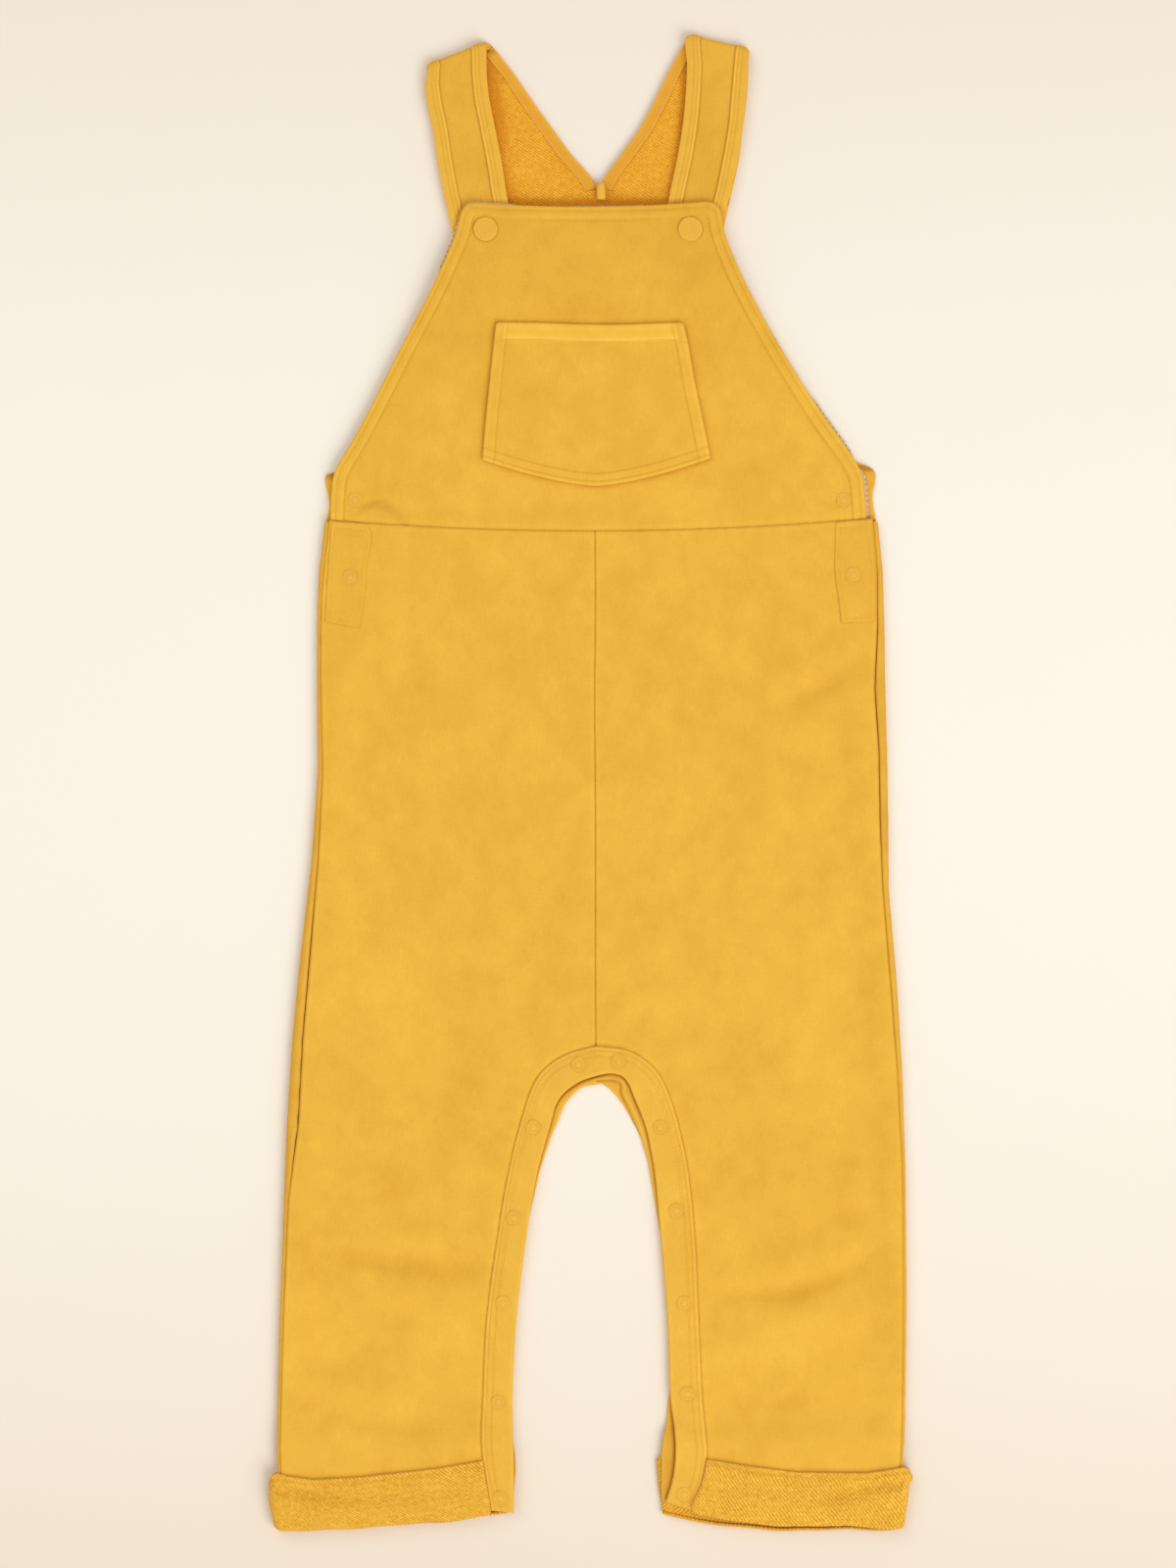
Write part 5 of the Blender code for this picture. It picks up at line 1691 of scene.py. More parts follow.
@dataclass
class Bib:
    """The bib's front, with a turned and topstitched hem and a pale facing behind it."""

    sections: Sequence[Section] = BIB
    hem_rows: Pair = (2.3, 6.3)
    facing_width: float = 7.0
    facing_hides: float = 0.5
    peeks: Sequence[tuple[float, float, float, float]] = (
        (-65.5, 251, 16, 0.95), (-47, 271.5, 16, 0.62), (8, 270, 22, 0.4), (115, 167, 20, 0.95),
        (130.5, 135.5, 15, 1.6),
    )
    creases: Sequence[Crease] = table(
        Crease,
        (-100.4, 131.4, 4, 7, 1.3, -2.4, -2.6), (-91, 126.4, -44, 8, 2.2, -1.6),
        (-100.6, 141, 88, 9, 3, -1), (112.4, 131.2, -20, 7, 1.8, -0.9), (0, 240, 4, 46, 16, 0.5),
        (-66, 186, 62, 36, 12, 0.4), (74, 176, 116, 30, 12, 0.45), (-30, 136, 4, 40, 7, 0.45),
        (-20, 128, 2, 52, 4, -0.3), (52, 134, -3, 34, 7, 0.45),
    )

    def plan(self) -> Array:
        """Return the bib's points of the plan.

        Returns:
            The points, row by row.
        """
        plan = panel(self.sections, PLAIN_EDGE, FINE_EDGE, (BIB_PITCH, BIB_PITCH))
        bend_end(plan, waist_seam, 40.0, last=False)
        bend_end(plan, bib_top, 30.0, last=True)
        return plan

    @staticmethod
    def outline(plan: Array) -> Array:
        """Return the hemmed edge: up the left side, across the top and down the right side."""
        return np.vstack([plan[:, 0], plan[-1, 1:-1], plan[::-1, -1]])

    def build_front(self, looks: Wardrobe, snaps: Sequence[SnapSpot]) -> Object:
        """Build the bib's front.

        Args:
            looks: The finishes.
            snaps: The snaps and caps that it carries.

        Returns:
            The piece.
        """
        plan = self.plan()
        wall = Wall.over(plan, bib_level(plan[..., 1]), CLOTH)
        away, along = wall.from_line(self.outline(plan))
        seam, across = wall.from_line(plan[0], 4.0)
        wall.round_rim(away, 1.3)
        wall.raise_hem(away, self.hem_rows[1], 0.25)
        wall.press_row(away - self.hem_rows[0], 0.5, 0.18, 0.3)
        wall.press_row(away - self.hem_rows[1], 0.5, 0.26, 0.5)
        # Painted highlight along the rounded edge
        wall.wear += 0.1 * bell(away - 1.1, 0.8)
        wall.emboss(puckers(away - 4.5, along, 4.0, 6.0, 0.13, 2.0))
        wall.sink_seam(seam, 1.9, 0.5, 0.4)
        wall.emboss(puckers(seam, across, 7.0, 8.0, 0.16, 5.0))
        # The bib grows a little darker towards its top
        wall.wear -= 0.16 * ease((wall.y - 150.0) / 90.0)
        # Painted shadow round the pocket's edge
        wall.wear -= 0.3 * bell(wall.from_line(Pocket().outline())[0], 1.7)
        inside = ease((away - 7.0) / 12.0)
        wall.fold(self.creases, ease((away - 1.0) / 8.0))
        wall.lift(drape(wall.x, wall.y, 3, 0.16, 16.0, 90.0) * inside)
        seat_snaps(wall, snaps)
        return wall.make("bib", Slot.JERSEY, "bib_front", looks.jersey)

    def build_facing(self, looks: Wardrobe) -> Object:
        """Build the facing, which shows as a thin pale line past the bib's edge.

        Args:
            looks: The finishes.

        Returns:
            The facing.
        """
        edge = respaced(self.outline(self.plan()), 1.6)
        depth = np.array([0.0, 0.12, 0.35, 0.7, 1.2, 2.0, 3.5, 5.5, self.facing_width])
        shows = self.facing_reach(edge)
        plan = np.stack([inset_same(edge, step - shows) for step in depth], axis=1)
        wall = Wall.over(plan, facing_level(plan[..., 1]), FACING)
        away = np.broadcast_to(depth, plan.shape[:2])
        wall.round_rim(np.minimum(away, self.facing_width - away), 0.7)
        wall.weave_along()
        return wall.make("bib_lining_edge", Slot.FACING, "bib_facing", looks.facing)

    def facing_reach(self, line: Array) -> Array:
        """Return how far past the bib's edge the facing comes, at each point of the edge.

        Args:
            line: The points of the edge.

        Returns:
            A distance for each point.
        """
        x, y = line.T
        shown = []
        for at_x, at_y, reach, show in self.peeks:
            share = ease((reach - np.hypot(x - at_x, y - at_y)) / 6.0)
            shown.append(mix(-self.facing_hides, show, share))
        return np.max(shown, axis=0)

    def overlock_lines(self) -> list[Array]:
        """Return the facing's edge, wherever it comes out from under the bib.

        Returns:
            The stretches of the edge.
        """
        edge = respaced(self.outline(self.plan()), 1.0)
        reach = self.facing_reach(edge)
        line = inset_same(edge, 0.4 - reach)
        shown = np.flatnonzero(np.diff(np.concatenate([[0], (reach > 0.8).astype(int), [0]])))
        return [line[start:end] for start, end in zip(shown[::2], shown[1::2])]

    def stitch_lines(self) -> list[Array]:
        """Return the rows of stitches along the hem."""
        return [inset(self.outline(self.plan()), self.hem_rows[1])]


def inset_same(line: Array, distance: Number) -> Array:
    """Return a line moved to its own right by a distance, with as many points as it has.

    Args:
        line: The line's points.
        distance: How far it moves.

    Returns:
        The moved points.
    """
    run = np.gradient(line, axis=0)
    run /= np.linalg.norm(run, axis=1)[:, None]
    return line + np.stack([run[:, 1], -run[:, 0]], axis=-1) * np.reshape(distance, (-1, 1))


@dataclass
class Pocket:
    """The patch pocket on the bib, with a coverstitched top hem and a pointed foot."""

    sections: Sequence[Section] = POCKET
    point_depth: float = 12.6
    top_hem: float = 8.0
    rib_depth: float = 6.4
    side_hem: float = 5.8
    foot_rows: Pair = (1.9, 5.6)
    middle_dip: float = 1.1
    corner_dip: float = 1.2

    def foot(self, x: Array) -> Array:
        """Return the foot's Y at each X."""
        seam = self.sections[0]
        return seam.sagging(x, 0.0) - self.point_depth * (1.0 - np.abs(2.0 * seam.share(x) - 1.0) ** 1.5)

    def top(self, x: Array) -> Array:
        """Return the top's Y at each X: it dips in its middle and at its two corners."""
        corner_dip = self.corner_dip * ease((np.abs(x - 0.4) - 42.0) / 3.0)
        return self.sections[-1].left_y - self.middle_dip * bell(x - 8.0, 26.0) - corner_dip

    def plan(self) -> Array:
        """Return the pocket's points of the plan.

        Returns:
            The points, row by row.
        """
        plan = panel(self.sections, FINE_EDGE, FINE_EDGE, (1.3, 1.4))
        bend_end(plan, self.foot, 55.0, last=False)
        bend_end(plan, self.top, 9.0, last=True)
        return plan

    def outline(self) -> Array:
        """Return the sewn edge: down the left side, round the foot and up the right side."""
        plan = self.plan()
        return np.vstack([plan[::-1, 0], plan[0], plan[:, -1]])

    def build(self, looks: Wardrobe) -> Object:
        """Build the pocket.

        Args:
            looks: The finishes.

        Returns:
            The pocket.
        """
        plan = self.plan()
        wall = Wall.over(plan, bib_level(plan[..., 1]) + CLOTH + GAP, CLOTH)
        side = np.minimum(wall.from_line(plan[:, 0])[0], wall.from_line(plan[:, -1])[0])
        foot, across = wall.from_line(plan[0], 1.5)
        top = wall.from_line(plan[-1], 3.0)[0]
        wall.round_rim(np.minimum(np.minimum(side, foot), top), 1.4)
        hem = np.minimum(side, foot)
        clear = ease((top - self.top_hem) / 1.0)
        wall.emboss(0.3 * (1.0 - clear))
        wall.raise_hem(hem, self.side_hem, 0.28)
        wall.press_row(side - self.side_hem + 0.3, 0.5, 0.26, 0.45)
        for row in self.foot_rows:
            wall.press_row(foot - row, 0.5, 0.22, 0.42)
        # Painted highlight along the rounded edge of the hem
        wall.wear += 0.15 * bell(hem - 1.0, 0.8)
        # Painted shadow under the lower edge of the raised top hem
        wall.wear -= 0.45 * bell(top - self.top_hem, 0.5)
        # Painted highlight on the raised top hem and on its lower ridge
        wall.wear += (0.3 * bell(top - self.top_hem + 0.9, 0.7) + 0.3 * (1.0 - clear)) * (side > 4.0)
        wall.emboss(puckers(foot - 4.0, across, 4.0, 5.5, 0.10, 3.0))
        wall.emboss(puckers(side - 3.0, wall.y, 4.0, 6.5, 0.08, 4.0))
        wall.emboss(drape(wall.x, wall.y, 8, 0.12, 16.0, 70.0) * ease((hem - 4.0) / 6.0))
        return wall.make("pocket", Slot.JERSEY, "bib_pocket", looks.jersey)

    def stitch_lines(self) -> list[Array]:
        """Return the rows of stitches down the sides and round the foot.

        Returns:
            The rows.
        """
        plan = self.plan()
        top = plan.shape[0] - 8
        lines = [inset(plan[0][::-1], row)[4:-4] for row in self.foot_rows]
        lines.append(inset(plan[:top, 0], self.side_hem - 0.3)[4:])
        lines.append(inset(plan[:top, -1], 0.3 - self.side_hem)[4:])
        return lines

    def top_line(self) -> Array:
        """Return the upper edge of the coverstitched hem, from left to right."""
        plan = self.plan()
        return inset(plan[-1], 0.8)[5:-5]


@dataclass
class Leg:
    """One leg: its front, and its back, which comes round to the side seam on the front."""

    hand: Hand
    side: Sequence[Side]
    creases: Sequence[Crease]
    band_outer: Points
    fine_creases: Sequence[Crease]
    crotch_y: float = -135.0
    waist_y: float = 118.0
    hem_y: float = -343.5
    side_ends_y: float = -346.0
    hem_share: float = 0.988
    tucked: float = 0.45

    def __post_init__(self) -> None:
        """Lay out the rows from waist to hem."""
        to_crotch = evenly((self.waist_y - self.crotch_y) / LEG_PITCH)
        to_hem = np.linspace(0.0, self.hem_share, round((self.crotch_y - self.hem_y) / LEG_PITCH))
        close = np.array([0.0, 0.3, 0.8, 1.5, 2.6]) / (self.waist_y - self.crotch_y)
        to_crotch = np.concatenate([close, to_crotch[2:]])
        centre = Edge(CENTRE_SEAM)
        band = Edge(self.band_outer)
        self.inner = np.vstack([centre.at(to_crotch), band.at(to_hem[1:])])
        down = mix(self.waist_y, self.crotch_y, to_crotch)
        self.y = np.concatenate([down, mix(self.crotch_y, self.side_ends_y, to_hem[1:])])
        self.crotch_row = len(to_crotch)

    def side_value(self, column: str, y: Array) -> Array:
        """Read the side's table."""
        return read(self.side, "y", column, y)

    def front_level(self, x: Array, y: Array) -> Array:
        """Return the lower face of the leg's front.

        Args:
            x: The points' places across.
            y: The points' places up.

        Returns:
            A height for each point.
        """
        roll = self.side_value("roll", y)
        inside = self.side_value("seam", y) - self.hand.value * x
        shelf = ease((inside - self.side_value("shelf", y)) / 16.0)
        at_side = (roll - CLOTH - FRONT_LEVEL) * (1.0 - shelf)
        at_waist = (LINED_LEVEL - FRONT_LEVEL) * ease((y - 98.0) / 18.0)
        ridges = crease_height(self.creases, x, y)
        return FRONT_LEVEL + cuff_lift(y) + np.maximum(at_side, at_waist) + ridges

    def front_plan(self) -> Array:
        """Return the front's points of the plan, from the side seam to the inner edge.

        Returns:
            The points, row by row.
        """
        sign = self.hand.value
        seam = np.column_stack([sign * (self.side_value("seam", self.y) + self.tucked), self.y])
        run = np.gradient(self.inner, axis=0)
        square = np.column_stack([-run[:, 1], run[:, 0]])
        square *= np.sign(square[:, :1] * sign + 1e-9) / np.linalg.norm(square, axis=1, keepdims=True)
        out = np.where(np.arange(len(self.y)) < self.crotch_row, -0.03, -self.tucked)
        end = self.inner + square * out[:, None]
        shares = stations(np.linalg.norm(end - seam, axis=1), PLAIN_EDGE, LEG_PITCH)
        plan = ruled(seam, end, shares)
        bend_end(plan, lambda x: waist_seam(x) + 0.05, 60.0, last=False)
        return plan

    def build_front(self, looks: Wardrobe) -> Object:
        """Build the leg's front.

        Args:
            looks: The finishes.

        Returns:
            The front.
        """
        plan = self.front_plan()
        wall = Wall.over(plan, self.front_level(plan[..., 0], plan[..., 1]), CLOTH)
        row = self.crotch_row
        waist, across = wall.from_line(plan[0], 4.0)
        centre, down = wall.from_line(plan[:row, -1], 6.0)
        band, along = wall.from_line(plan[row - 1:, -1], 3.0)
        side, beside = wall.from_line(plan[:, 0], 5.0)
        wall.sink_seam(waist, 1.9, 0.5, 0.38)
        wall.sink_seam(centre, 1.2, 0.6, 0.45)
        wall.sink_seam(band, 2.0, 0.7, 0.6)
        wall.sink_seam(side, 1.6, 0.8, 0.7)
        seed = 2.0 + self.hand.value
        wall.lift(puckers(waist, across, 9.0, 8.0, 0.2, seed))
        wall.emboss(puckers(centre, down, 6.0, 9.0, 0.18, seed + 3))
        wall.lift(puckers(band, along, 7.0, 7.0, 0.2, seed + 5))
        wall.emboss(puckers(side, beside, 7.0, 11.0, 0.2, seed + 7))
        inside = ease(np.minimum(np.minimum(waist, band), np.minimum(centre, side)) / 10.0)
        wall.fold(self.fine_creases, inside)
        wall.lift(drape(wall.x, wall.y, 21 + self.hand.value, 0.28, 18.0, 120.0) * inside)
        return wall.make(f"leg_front_{self.hand}", Slot.JERSEY, f"front_leg_{self.hand}", looks.jersey)

    def build_back(self, looks: Wardrobe) -> Object:
        """Build the leg's back, which rolls up round the side to the side seam.

        Args:
            looks: The finishes.

        Returns:
            The back.
        """
        sign = self.hand.value
        outline = self.side_value("outline", self.y)
        seam = self.side_value("seam", self.y) + GAP / 2
        radius = self.side_value("roll", self.y) / 2
        bend = outline - radius
        start = sign * self.inner[:, 0] + 2 * GAP
        shares = stations(bend - start, (0.0, 0.2, 0.6, 1.2), 4.0)[:, :-3]
        out = mix(start[:, None], bend[:, None], shares)
        y = mix(self.inner[:, 1:], self.y[:, None], shares)
        last = np.arccos(np.clip(1.0 - (outline - seam) / radius, -1.0, 1.0))
        turn = -math.pi / 2 + (math.pi / 2 + last)[:, None] * evenly(13)[None, 1:]
        layers = []
        for lift, reach in ((0.0, radius), (CLOTH, np.maximum(radius - CLOTH, 0.2))):
            x = sign * (bend[:, None] + reach[:, None] * np.cos(turn))
            z = (cuff_lift(self.y) + radius)[:, None] + reach[:, None] * np.sin(turn)
            rolled = np.dstack([x, np.broadcast_to(self.y[:, None], x.shape), z])
            layer = np.hstack([np.dstack([sign * out, y, cuff_lift(y) + lift]), rolled])
            layer[..., 1] += side_rise(layer[..., 0], layer[..., 1])
            layers.append(layer)
        wall = Wall(*layers)
        wall.weave_along()
        run = wall.across()
        to_seam = run[:, -1:] - run
        wall.round_rim(np.minimum(to_seam, run), 1.3)
        # Painted highlight just inside the seam, painted shade along the seam line, and the whole back a
        # little darker
        wall.wear += 0.14 * bell(to_seam - 1.4, 0.9) - 0.7 * bell(to_seam, 0.5) - 0.24
        wall.emboss(puckers(to_seam, wall.y, 6.0, 11.0, 0.12, 4.0 + sign) * ease((to_seam - 0.2) / 1.5))
        return wall.make(f"leg_back_{self.hand}", Slot.JERSEY, f"back_leg_{self.hand}", looks.jersey)


@dataclass
class SideTab:
    """The snap tab sewn on under the waist at one side."""

    hand: Hand
    sections: Sequence[Section]
    rib_depth: float = 4.4
    thickness: float = 0.75
    level: float = LINED_LEVEL + CLOTH - 0.2

    @property
    def face(self) -> float:
        """The height of the tab's face."""
        return self.level + self.thickness

    def plan(self) -> Array:
        """Return the tab's points of the plan, whose last row meets the waist seam.

        Returns:
            The points, row by row.
        """
        plan = panel(self.sections, PLAIN_EDGE, PLAIN_EDGE, (1.0, 0.9))
        bend_end(plan, lambda x: waist_seam(x) - 0.2, 12.0, last=True)
        return plan

    def build(self, looks: Wardrobe, snaps: Sequence[SnapSpot]) -> Object:
        """Build the tab.

        Args:
            looks: The finishes.
            snaps: The snap that it carries.

        Returns:
            The piece.
        """
        plan = self.plan()
        wall = Wall.over(plan, self.level, self.thickness)
        outline = np.vstack([plan[::-1, 0], plan[0], plan[:, -1]])
        away, along = wall.from_line(outline)
        seam = wall.from_line(plan[-1])[0]
        wall.round_rim(away, 0.9)
        wall.sink_seam(seam, 1.6, 0.6, 0.6)
        wall.press_row(away - 1.9, 0.5, 0.06, 0.1)
        # Painted shade along the tab's edge
        wall.wear -= 0.24 * bell(away, 0.35)
        wall.emboss(puckers(away, along, 4.0, 6.0, 0.07, 6.0 + self.hand.value))
        seat_snaps(wall, snaps)
        return wall.make(f"tab_{self.hand}", Slot.JERSEY, f"side_tab_{self.hand}", looks.jersey)

    def top_line(self) -> Array:
        """Return the upper edge of the coverstitching, from left to right."""
        return inset(self.plan()[-1], 2.6)[2:-2]


@dataclass
class InseamBands:
    """The front and back snap bands, down one leg's inside, round the crotch and up the other."""

    outer: tuple[Points, Points]
    inner: tuple[Points, Points]
    rows: Pair = (2.1, 5.0)
    back_from_edge: tuple[float, ...] = (
        0.0, 0.15, 0.4, 0.7, 1.0, 1.35, 1.7, 2.05, 2.4, 2.8, 3.2, 3.6, 4.0, 4.5, 5.0, 5.6, 6.3, 7.1,
        8.0, 9.0, 10.0, 11.0, 12.2,
    )
    twist_ridge: Points = (
        (2, -139), (7.4, -138.2), (12.4, -138), (15.4, -139.6), (16.6, -141.6), (16.2, -143.6),
        (16.5, -145.6), (18.6, -148.8), (21.8, -155.6), (24.8, -163), (26.8, -169),
    )
    twist_groove: Points = (
        (3.6, -139.9), (10.8, -139.6), (14, -140.6), (14.9, -142), (14.8, -144.2), (15.2, -146.6),
        (17.2, -150.6), (20.4, -157.6), (23.6, -165),
    )

    def back_reach(self, inner: Array) -> Array:
        """Return how far the back band shows past the front band, along its inner edge.

        Args:
            inner: The points of the inner edge.

        Returns:
            A distance for each point.
        """
        x, y = inner.T
        left = read(BACK_BAND, "y", "left", y)
        right = read(BACK_BAND, "y", "right", y)
        return mix(left, right, ease((x - 5.0) / 8.0))

    def edges(self) -> tuple[Array, Array]:
        """Return matching points of the outer and inner edges, from hem to hem.

        Returns:
            The outer edge and the inner edge.
        """
        down = evenly(Edge(self.outer[0]).length / BAND_PITCH)
        pairs = []
        for left, right in (self.outer, self.inner):
            pairs.append(np.vstack([Edge(left).at(down[::-1]), Edge(right).at(down[1:])]))
        return pairs[0], pairs[1]

    def build_front(self, looks: Wardrobe, snaps: Sequence[SnapSpot]) -> Object:
        """Build the front band.

        Args:
            looks: The finishes.
            snaps: The snaps along it.

        Returns:
            The piece.
        """
        outer, inner = self.edges()
        width = np.linalg.norm(inner - outer, axis=1)
        shares = stations(width, FINE_EDGE[:13], 0.9)
        plan = ruled(outer, inner, shares)
        level = FRONT_LEVEL + cuff_lift(np.broadcast_to(outer[:, 1:], shares.shape))
        wall = Wall.over(plan, level, BAND)
        wall.weave_along()
        across = shares * width[:, None]
        from_inner = width[:, None] - across
        along = np.broadcast_to(lengths((outer + inner) / 2)[:, None], across.shape)
        ends = np.minimum(along, along[-1:] - along)
        wall.round_rim(np.minimum(np.minimum(across, from_inner), ends), 1.3)
        wall.emboss(0.12 * bell(across - 1.0, 0.9))
        # Painted highlight on the outer ridge, painted shade at the outer edge
        wall.wear += 0.18 * bell(across - 0.9, 0.6) - 0.4 * bell(across, 0.25)
        # Painted highlight along the inner edge
        wall.wear += 0.12 * bell(from_inner - 1.0, 0.8)
        for row in self.rows:
            wall.press_row(across - row, 0.42, 0.12, 0.25)
        wall.emboss(puckers(across - 3.0, along, 3.5, 5.6, 0.10, 9.0))
        wall.emboss(puckers(from_inner, along, 3.0, 9.0, 0.10, 1.0) * ease(from_inner / 1.5))
        seat_snaps(wall, snaps)
        return wall.make("band_front", Slot.BANDS, "inseam_band_front", looks.bands)

    def build_back(self, looks: Wardrobe) -> Object:
        """Build the back band, which shows inside the front one.

        Args:
            looks: The finishes.

        Returns:
            The back band.
        """
        outer, inner = self.edges()
        shows = self.back_reach(inner)
        run = inner - outer
        end = inner + run / np.linalg.norm(run, axis=1, keepdims=True) * shows[:, None]
        width = np.linalg.norm(end - outer, axis=1)
        close = np.array(self.back_from_edge)[None, ::-1]
        far = (width[:, None] - close[:, :1]) * np.array([0.0, 0.3, 0.7])
        shares = np.hstack([far, width[:, None] - close]) / width[:, None]
        plan = ruled(outer, end, shares)
        wall = Wall.over(plan, cuff_lift(np.broadcast_to(outer[:, 1:], shares.shape)), CLOTH)
        wall.weave_along()
        across = shares * width[:, None]
        from_end = width[:, None] - across
        along = np.broadcast_to(lengths((outer + inner) / 2)[:, None], across.shape)
        ends = np.minimum(along, along[-1:] - along)
        wall.round_rim(np.minimum(np.minimum(across, from_end), ends), 1.0)
        # Painted shadow where the band shows in the gap beside the front band's edge, strongest near the
        # crotch and near the hem
        gape_shadow = 0.35 + 0.6 * bell(plan[..., 1] + 143.0, 14.0) + 0.35 * bell(plan[..., 1] + 306.0, 14.0)
        wall.wear -= 1.25 * gape_shadow * bell(from_end - shows[:, None] + 0.1, 0.6 + 0.6 * gape_shadow)
        wall.emboss(-0.5 * gape_shadow * bell(from_end - shows[:, None] + 0.1, 0.8))
        # Painted highlight at the outer edge, a slight darkening all over and more towards the hem
        wall.wear += 0.2 * bell(from_end - 0.8, 0.6) - 0.1 - 0.3 * ease((-288.0 - plan[..., 1]) / 14.0)
        ridge = nearest(wall.x, wall.y, Edge(self.twist_ridge).points)[0]
        groove = nearest(wall.x, wall.y, Edge(self.twist_groove).points)[0]
        wall.emboss(0.55 * bell(ridge, 0.9) - 0.6 * bell(groove, 0.55))
        # Painted highlight on the twist's ridge, painted shade in its groove
        wall.wear += 0.25 * bell(ridge, 0.6) - 0.85 * bell(groove, 0.5)
        return wall.make("band_back", Slot.BANDS, "inseam_band_back", looks.bands)

    def stitch_lines(self) -> list[Array]:
        """Return the rows of stitches along the front band."""
        outer = self.edges()[0]
        return [inset(outer, row) for row in self.rows]


@dataclass
class Cuff:
    """One turned-up cuff: a layer under the leg, a roll round its side and a layer over it."""

    hand: Hand
    hems: Sequence[Hem]
    outline: Points
    band_out: Edge
    sag: Sequence[Crease]
    fold_radius: float = 1.9
    back_columns: int = 46
    roll_columns: int = 21
    pitch: float = 0.75
    lean: float = 2.6
    lumps: float = 0.12

    def band_edge(self, y: Array) -> Array:
        """Return how far out the band's outer edge lies near the hem.

        Args:
            y: The points' places up.

        Returns:
            A place across for each point.
        """
        line = self.band_out.at(np.linspace(0.3, 1.0, 200))
        order = np.argsort(line[:, 1])
        return np.abs(np.interp(y, line[order, 1], line[order, 0])) - 0.2

    def run(self, start: Array, outline: Array, band: Array) -> tuple[Array, Array]:
        """Return the cuff's run round the leg, for each row.

        Args:
            start: How far out the back layer starts.
            outline: How far out the roll reaches.
            band: How far out the front layer starts.

        Returns:
            How far out each point is, and how far each column has turned, from facing straight
            down on the back to straight up on the front.
        """
        radius = CUFF_HEIGHT / 2
        bend = outline - radius
        back = evenly(self.back_columns)[None, :-1]
        turn = np.linspace(-math.pi / 2, math.pi / 2, self.roll_columns)
        count = round((bend.max() - band.min()) / self.pitch)
        front = evenly(count)[None, 1:]
        turn = np.pad(turn, (back.size, front.size), mode="edge")
        flat = [mix(start, bend, back), np.repeat(bend, self.roll_columns, axis=1), mix(bend, band, front)]
        return np.hstack(flat) + radius * np.cos(turn), turn

    def build(self, looks: Wardrobe) -> Object:
        """Build the cuff, whose lower edge turns under into the leg.

        Args:
            looks: The finishes.

        Returns:
            The cuff.
        """
        sign = self.hand.value
        down = np.concatenate([[0.0, 0.008, 0.02, 0.04, 0.07], np.linspace(0.1, 1.0, 42)])[:, None]
        turns = np.radians(np.linspace(0.0, 140.0, 9))[1:, None]
        share = np.vstack([down, np.ones_like(turns)])
        tuck = np.vstack([np.zeros_like(down), turns])
        outline = np.interp(share, *zip(*self.outline))
        band = self.band_edge(mix(-318.0, -342.0, share))
        start = self.hems[0].out + self.lean * share**2 + 1.5 * (1.0 - ease(share / 0.08))
        out, turn = self.run(start, outline, band)
        came = turn / math.pi + 0.5
        top = read(self.hems, "out", "top", out)
        back_end, front_end = (read(self.hems, "out", end, out) for end in ("back_end", "front_end"))
        waver = 0.4 * np.sin(out / 9.0 + sign) + 0.2 * np.sin(out / 3.7)
        end = mix(back_end, front_end, came) + waver * ease((out - 48.0) / 12.0)
        y = mix(top, end + self.fold_radius, share)
        layers = []
        for reach in (self.fold_radius, self.fold_radius - TERRY):
            inward = self.fold_radius - reach * np.cos(tuck)
            x = sign * (out - np.cos(turn) * inward)
            height = CUFF_HEIGHT / 2 + (CUFF_HEIGHT / 2 - inward) * np.sin(turn)
            layers.append(np.dstack([x, y - reach * np.sin(tuck), height]))
        wall = Wall(*layers)
        wall.weave_along()
        wall.weave[..., 0] *= -sign
        from_top = top - wall.y
        from_band = np.abs(out - band)
        on_front = came > 0.999
        wall.round_rim(np.where(on_front, np.minimum(from_top, from_band), from_top), 1.8)
        lumps = drape(wall.weave[..., 0], wall.weave[..., 1], 31, self.lumps, 2.4, 14.0)
        wall.emboss(lumps * ease(came / 0.4))
        wall.fold(self.sag, on_front)
        # Painted highlight along the top edge, and painted shade just below it
        wall.wear += 0.25 * bell(from_top - 0.8, 0.8) - 0.25 * bell(from_top - 2.6, 1.0)
        return wall.make(f"turn_up_{self.hand}", Slot.TERRY, f"cuff_{self.hand}", looks.cuff_terry)


class SnapKind(Enum):
    """The two kinds of snap."""

    RING = "ring"
    CAP = "cap"


